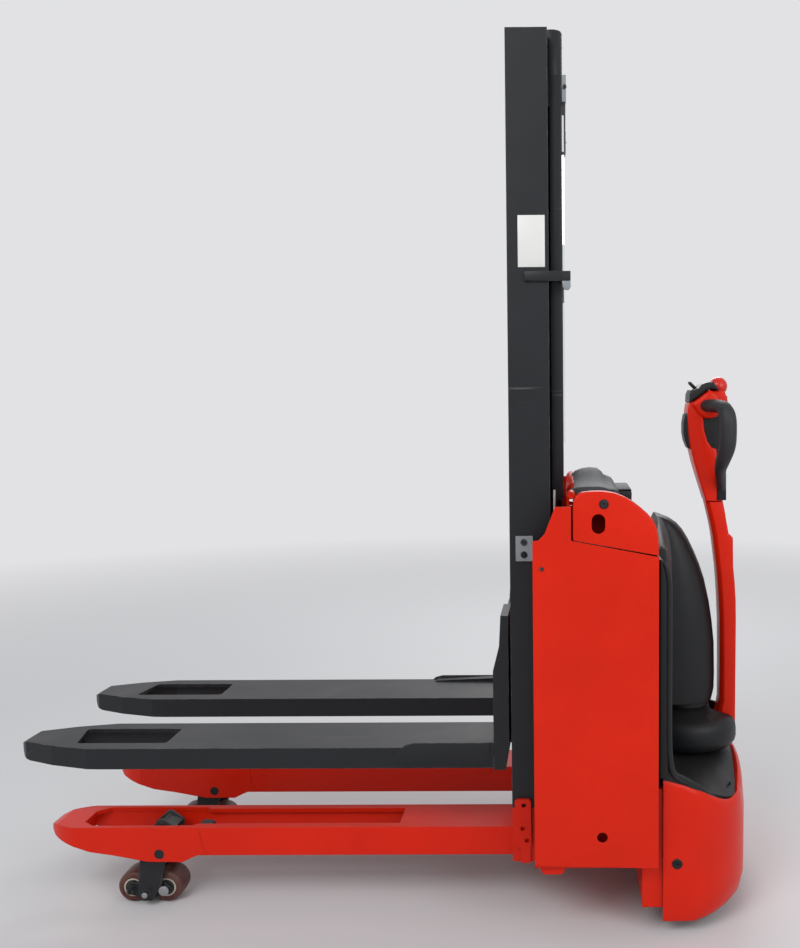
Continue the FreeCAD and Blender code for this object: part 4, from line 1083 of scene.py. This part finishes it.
def console():
    stations = [(-0.205, 0.02, 0.03), (-0.2, 0.18, 0.01), (-0.19, 0.2, 0), (-0.15, 0.16, 0),
                (-0.11, 0.2, 0), (-0.07, 0.32, 0), (-0.035, 0.56, 0), (-0.01, 0.8, 0), (0.012, 0.95, 0),
                (0.035, 1.0, 0), (0.07, 0.98, 0), (0.11, 0.86, 0), (0.15, 0.66, 0.01), (0.18, 0.44, 0.03),
                (0.195, 0.2, 0.06)]
    dish = loft("console_dish", [dish_ring(y, rise, draw) for y, rise, draw in stations])
    settle(dish, "grey_plastic", "hood", replaces=["hood_console"], angle=50)
    wall = metres([(176.5, 990), (176.5, 1006), (180, 1015), (186, 1021), (195, 1022.5), (195, 990)])
    across("console_wall", wall, -0.17, 0.19, 0.004, "red_paint")
    across("switch_block", metres([(303.5, 980), (303.5, 1002), (334, 1002), (335.5, 996), (335, 976)]),
           -0.17, -0.004, 0.003, "black_plastic")
    across("switch_lid", metres([(299, 1002), (300, 1006.2), (330, 1006.6), (334.5, 1004), (335, 1002)]),
           -0.17, -0.002, 0.002, "grey_plastic")


console()
print("console made")

# %% [markdown]
# ## Screws and bolts
# A bolt is a washer, a hexagon with a chamfered crown and a small dimple. One is modelled facing the
# camera's side; each other bolt is a copy with its own mesh, turned to its face and moved to its
# place. Socket screws are turned as on a lathe, with a round recess in their heads.

# %% Fasteners
FACINGS = {"right": 0.0, "left": 180.0}
FLATTEN = 0.12


def hexagon(radius, y):
    turns = [math.radians(60 * i) for i in range(6)]
    return [spot(radius * math.cos(turn), y, radius * math.sin(turn)) for turn in turns]


def hex_bolt(radius):
    washer = turned("bolt", [(0.001, 0.0005), (0.001, radius * 1.25), (-0.0006, radius * 1.3),
                             (-0.0012, radius * 1.22), (-0.0012, 0.0005)], (0, 0, 0), steps=24)
    crown = [(1, 0.62), (0.84, 0.74), (0.3, 0.74), (0.18, 0.66)]
    rings = [hexagon(radius * wide, -radius * tall) for wide, tall in crown]
    head = loft("bolt_head", [hexagon(radius, -0.001)] + rings)
    return joined("bolt", [washer, head])


def flat_bolt(radius):
    """A bolt with a low head, for faces that pass close to another part."""
    bolt = hex_bolt(radius)
    home = spot(0, 0, 0)
    flat = Matrix.Translation(home) @ Matrix.Scale(FLATTEN, 4, (0, 1, 0)) @ Matrix.Translation(-home)
    bolt.data.transform(flat)
    return bolt


def socket_screw(radius):
    return turned("screw", [(0.001, 0.0005), (0.001, radius), (-0.0016, radius), (-0.003, radius * 0.86),
                            (-0.0034, radius * 0.52), (-0.0006, radius * 0.46), (-0.0006, 0.0005)],
                  (0, 0, 0), steps=32)


def fasten(name, master, places, finish, body, facing="right"):
    """Copies of a fastener at a list of stations, joined into one piece; the master is removed."""
    turn = Matrix.Rotation(math.radians(FACINGS[facing]), 4, "Z")
    home = Matrix.Translation(-spot(0, 0, 0))
    copies = []
    for place_ in places:
        twin = copied(master)
        twin.data.transform(Matrix.Translation(spot(*place_)) @ turn @ home)
        copies.append(twin)
    bpy.data.objects.remove(master)
    return settle(joined(name, copies), finish, body, angle=30)


for side, facing in ((-1, "right"), (1, "left")):
    for name, radius, place_, body in (("hood_screw", 0.0105, (0.259, BODY_HALF + 0.0002, 0.996), "hood"),
                                       ("panel_screw", 0.0045, (0.122, BODY_HALF, 0.853), "load_frame"),
                                       ("cover_screw", 0.012, (0.425, COVER_HALF, 0.168), "drive_unit")):
        x, y, z = place_
        fasten(name, socket_screw(radius), [(x, side * y, z)], "dark_bolt", body, facing)
    bracket = [(0.079, side * 0.297, z) for z in (0.868, 0.897)]
    fasten("mast_bracket_bolts", hex_bolt(0.006), bracket, "dark_bolt", "load_frame", facing)
print("fasteners made")

# %% [markdown]
# ## Load rollers and castors
# A polyurethane roller is a tread cast on a hub, with a pale ring where the two meet and a sealed
# bearing inside. The three have different finishes, so they are turned as separate pieces, from
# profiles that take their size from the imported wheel.

# %% Rollers
TREAD_BORE = 0.6
RING_DEPTH = 0.9


def tread_profile(radius, half, bore, crown):
    """Half of the tread's section, with rounded shoulders, and its mirror image."""
    half_section = [(-half, bore), (-half, radius - 0.009), (-half + 0.0015, radius - 0.004),
                    (-half + 0.005, radius - 0.0008), (-half + 0.01, radius), (0, radius + crown)]
    return half_section + [(-a, r) for a, r in reversed(half_section[:-1])]


def ring_profile(outer, inner, depth, sunk):
    """A ring let into a face: its own face lies a little below it."""
    return [(0.0, outer), (sunk, outer - 0.0008), (sunk, inner + 0.0008), (0.0, inner), (depth, inner),
            (depth, outer)]


def roller(node, body, crown=0.0):
    """The wheel's tread, and on both faces its hub ring and its bearing."""
    low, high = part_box(node)
    middle = (low + high) / 2
    centre = (middle.x - HEEL, middle.y, middle.z)
    radius = (high.z - low.z) / 2
    half = (high.y - low.y) / 2
    tread = turned("tread", tread_profile(radius, half, radius * TREAD_BORE, -crown), centre, steps=56)
    settle(tread, "tread", body, replaces=[node], angle=40)
    rings, bearings = [], []
    for side in (-1, 1):
        face = (centre[0], centre[1] + side * half, centre[2])
        for kind, outer, inner, sunk in ((rings, 0.64, 0.5, 0.0004), (bearings, 0.5, 0.24, 0.0012)):
            section = ring_profile(radius * outer, radius * inner, half * RING_DEPTH, sunk)
            kind.append(turned("ring", [(-side * a, r) for a, r in section], face, steps=40))
    settle(joined("hub_rings", rings), "pale_ring", body)
    settle(joined("bearings", bearings), "bearing", body)


for hand in ("right", "left"):
    roller("load_roller_front_" + hand, "load_roller_front_" + hand)
    roller("load_roller_rear_" + hand, "load_roller_rear_" + hand)
    roller("castor_wheel_" + hand, "castor_wheel_" + hand, 0.001)
print("rollers made")

# %% [markdown]
# ## Links, plates and brackets
# The link's lever shows in the arm's well as two black cheeks with a pin between them. The rocker's
# and link's bolts are copies of the hexagon bolt with low heads. Sheet pieces are side outlines
# extruded across the machine, the tie bar is two arms and a cross joined, and the weld beads and
# the guide rod are bars along a path.

# %% Small pieces
LEVER_LINE = metres([(-850, 172), (-849, 180), (-820, 206), (-812, 209.5), (-804, 206), (-779, 187),
                     (-779, 172)])

ARM_MIDDLE = 0.19


def lever(hand, side):
    body = "link_" + hand
    y = side * ARM_MIDDLE
    cheeks = [plate("lever_cheek", LEVER_LINE, y + y0, y + y1, 0.0012)
              for y0, y1 in ((-0.03, -0.023), (0.023, 0.03))]
    pin = turned("lever_pin", metres([(-34, 0.5), (-34, 5.5), (-33, 6.5), (33, 6.5), (34, 5.5), (34, 0.5)]),
                 (-0.811, y, 0.196), steps=24)
    settle(joined("lever_cheeks", cheeks), "cast_iron", body)
    settle(pin, "cast_iron", body)


def link_bolts(hand, side):
    for name, radius, place_, finish, body in (
            ("bogie_bolt", 0.0055, (-0.847, side * 0.254, 0.034), "light_bolt", "link_"),
            ("rocker_bolt", 0.0065, (-0.888, side * 0.2408, 0.038), "dark_bolt", "rocker_"),
            ("rocker_axle_bolt", 0.0095, (-0.806, side * 0.2406, 0.038), "light_bolt", "rocker_")):
        fasten(name, flat_bolt(radius), [place_], finish, body + hand, hand)


def weld_bead(side):
    for y in (side * 0.2552, side * 0.1248):
        line = [(-0.711, y, 0.2035), (-0.709, y, 0.19), (-0.703, y, 0.165), (-0.695, y, 0.142),
                (-0.692, y, 0.136)]
        bead = tube("weld_bead", line, [0.0012, 0.0018, 0.0018, 0.0018, 0.0012], 6, 3)
        settle(bead, "red_paint", "load_frame")


TIE_LOW = 1.4895
TIE_HIGH = 1.5115
TIE_HALF = 0.2975
TIE_END_LINE = metres([(170, 1489.5), (189.5, 1489.5), (189.5, 1476), (185, 1469.5), (177, 1469.5),
                       (172, 1475)])
TAB_LINE = metres([(113, 172), (115, 160), (119, 152.5), (127, 150), (157, 150), (165, 152.5), (169, 160),
                   (171, 172)])
for hand, side in (("right", -1), ("left", 1)):
    lever(hand, side)
    link_bolts(hand, side)
    weld_bead(side)
    settle(plate("panel_tab", TAB_LINE, *flank(side, 0.372, 0.388), 0.002, 3), "red_paint", "load_frame")
    low, high = flank(side, 0.2505, 0.2535)
    settle(block("rod_guard", (0.144, low, 0.99), (0.171, high, 1.953), 0.0008), "black_paint",
           "load_frame")
    low, high = flank(side, 0.236, 0.2525)
    guide = block("rod_guide", (0.1715, low, 1.893), (0.1815, high, 1.953), 0.0018)
    settle(guide, "light_bracket", "load_frame")
    bolt_place = (0.177, side * 0.2528, 1.926)
    fasten("rod_guide_bolt", flat_bolt(0.0045), [bolt_place], "dark_bolt", "load_frame", hand)
    cap = metres([(1955.5, 0.5), (1955.5, 22.5), (1957, 24.5), (2054, 24.5), (2058, 22.5), (2059.5, 17),
                  (2060, 0.5)])
    settle(turned("rod_cap", cap, (0.1485, side * 0.2115, 0), axis="Z", steps=40), "black_paint",
           "inner_mast", replaces=["rod_caps"])
arms = [block("tie_arm", (0.085, low, TIE_LOW), (end, high, TIE_HIGH), 0.0015)
        for low, high, end in ((-0.298, -0.291, 0.1895), (0.291, 0.298, 0.1745))]
arms.append(block("tie_cross", (0.164, -TIE_HALF, TIE_LOW), (0.174, TIE_HALF, TIE_HIGH), 0.0015))
settle(plate("tie_bar_end", TIE_END_LINE, -TIE_HALF, -0.286, 0.001), "light_bracket", "load_frame")
settle(joined("tie_bar", arms), "black_paint", "load_frame", replaces=["mast_tie_bar"])
settle(block("blank_plate", (0.071, -0.2908, 1.521), (0.132, -0.2898, 1.636), 0.0003), "white_plate",
       "load_frame")
guide_rod = tube("guide_rod", [(0.15, -0.29, z) for z in (0.96, 0.985, 1.017)], [0.003] * 3, 4, 3)
settle(guide_rod, "steel", "load_frame")
print("small pieces made")

# %% [markdown]
# ## Fork heels
# The forks are formed steel with a thicker cheek at the heel. It is an outline extruded a few
# millimetres on the outer side of each fork, its front end cut at a slant and its edges rounded.

# %% Fork heels
CHEEK_LINE = metres([(-245, 374), (-222, 400), (-205, 414.5), (-185, 419.5), (-6, 419.5), (-6, 361),
                     (-220, 361), (-236, 365)])
for side in (-1, 1):
    cheek = plate("fork_cheek", CHEEK_LINE, *flank(side, 0.2795, 0.2825), 0.0012)
    settle(cheek, "black_paint", "carriage")
print("fork heels made")

# %% [markdown]
# ## Floor, backdrop and light
# The floor is a pale sheet that fades into the backdrop's own colour, so no horizon cuts the
# picture. Three large soft lamps stand round the machine, bright enough that a colour renders
# about as it is written, and the world fills in the shadows.

# %% Floor and light
BACKDROP = (0.76, 0.76, 0.78)
BACKDROP_LIGHT = 0.55
FADE_START = 2.2
FADE_END = 6.0


def studio_world():
    world = bpy.data.worlds.new("studio")
    scene.world = world
    world.use_nodes = True
    tree = world.node_tree
    seen = tree.nodes["Background"]
    seen.inputs["Color"].default_value = (*BACKDROP, 1)
    fill = add(tree, "Background", Strength=BACKDROP_LIGHT)
    fill.inputs["Color"].default_value = (0.95, 0.97, 1.0, 1)
    rays = add(tree, "LightPath")
    shown = math_node(tree, "ADD", rays.outputs["Is Camera Ray"], rays.outputs["Is Glossy Ray"], True)
    shown = math_node(tree, "ADD", shown, rays.outputs["Is Transmission Ray"], True)
    mix = add(tree, "MixShader")
    link(tree, shown, mix.inputs[0])
    link(tree, fill.outputs[0], mix.inputs[1])
    link(tree, seen.outputs[0], mix.inputs[2])
    link(tree, mix.outputs[0], tree.nodes["World Output"].inputs["Surface"])


def studio_floor():
    clear_selection()
    bpy.ops.mesh.primitive_plane_add(size=60, location=(0, 0, 0))
    floor = bpy.context.object
    floor.name = "floor"
    material = bpy.data.materials.new("pale_floor")
    material.use_nodes = True
    tree = material.node_tree
    shader = tree.nodes["Principled BSDF"]
    shader.inputs["Base Color"].default_value = (0.62, 0.62, 0.63, 1)
    shader.inputs["Roughness"].default_value = 0.75
    glow = add(tree, "Emission")
    glow.inputs["Color"].default_value = (*BACKDROP, 1)
    coordinate = add(tree, "TexCoord")
    length = add(tree, "VectorMath", operation="LENGTH")
    link(tree, coordinate.outputs["Object"], length.inputs[0])
    far = spread(tree, length.outputs["Value"], FADE_START, FADE_END)
    rays = add(tree, "LightPath")
    seen = math_node(tree, "ADD", rays.outputs["Is Camera Ray"], rays.outputs["Is Glossy Ray"], True)
    mix = add(tree, "MixShader")
    link(tree, math_node(tree, "MULTIPLY", far, seen), mix.inputs[0])
    link(tree, shader.outputs[0], mix.inputs[1])
    link(tree, glow.outputs[0], mix.inputs[2])
    link(tree, mix.outputs[0], tree.nodes["Material Output"].inputs["Surface"])
    floor.data.materials.append(material)


def soft_lamp(name, place_, aim, size, power):
    lamp = bpy.data.lights.new(name, "AREA")
    lamp.shape = "DISK"
    lamp.size = size
    lamp.energy = power
    holder = bpy.data.objects.new(name, lamp)
    bpy.context.collection.objects.link(holder)
    direction = Vector(aim) - Vector(place_)
    turn = direction.to_track_quat("-Z", "Y").to_matrix().to_4x4()
    holder.matrix_world = Matrix.Translation(place_) @ turn


studio_world()
studio_floor()
soft_lamp("key", (-1.6, -3.4, 3.6), (0, 0, 0.8), 2.6, 95)
soft_lamp("fill", (2.8, -2.6, 2.2), (0.3, 0, 0.8), 2.4, 45)
soft_lamp("back", (0.8, 3.2, 3.0), (0, 0, 1.0), 2.2, 60)
print("lit")
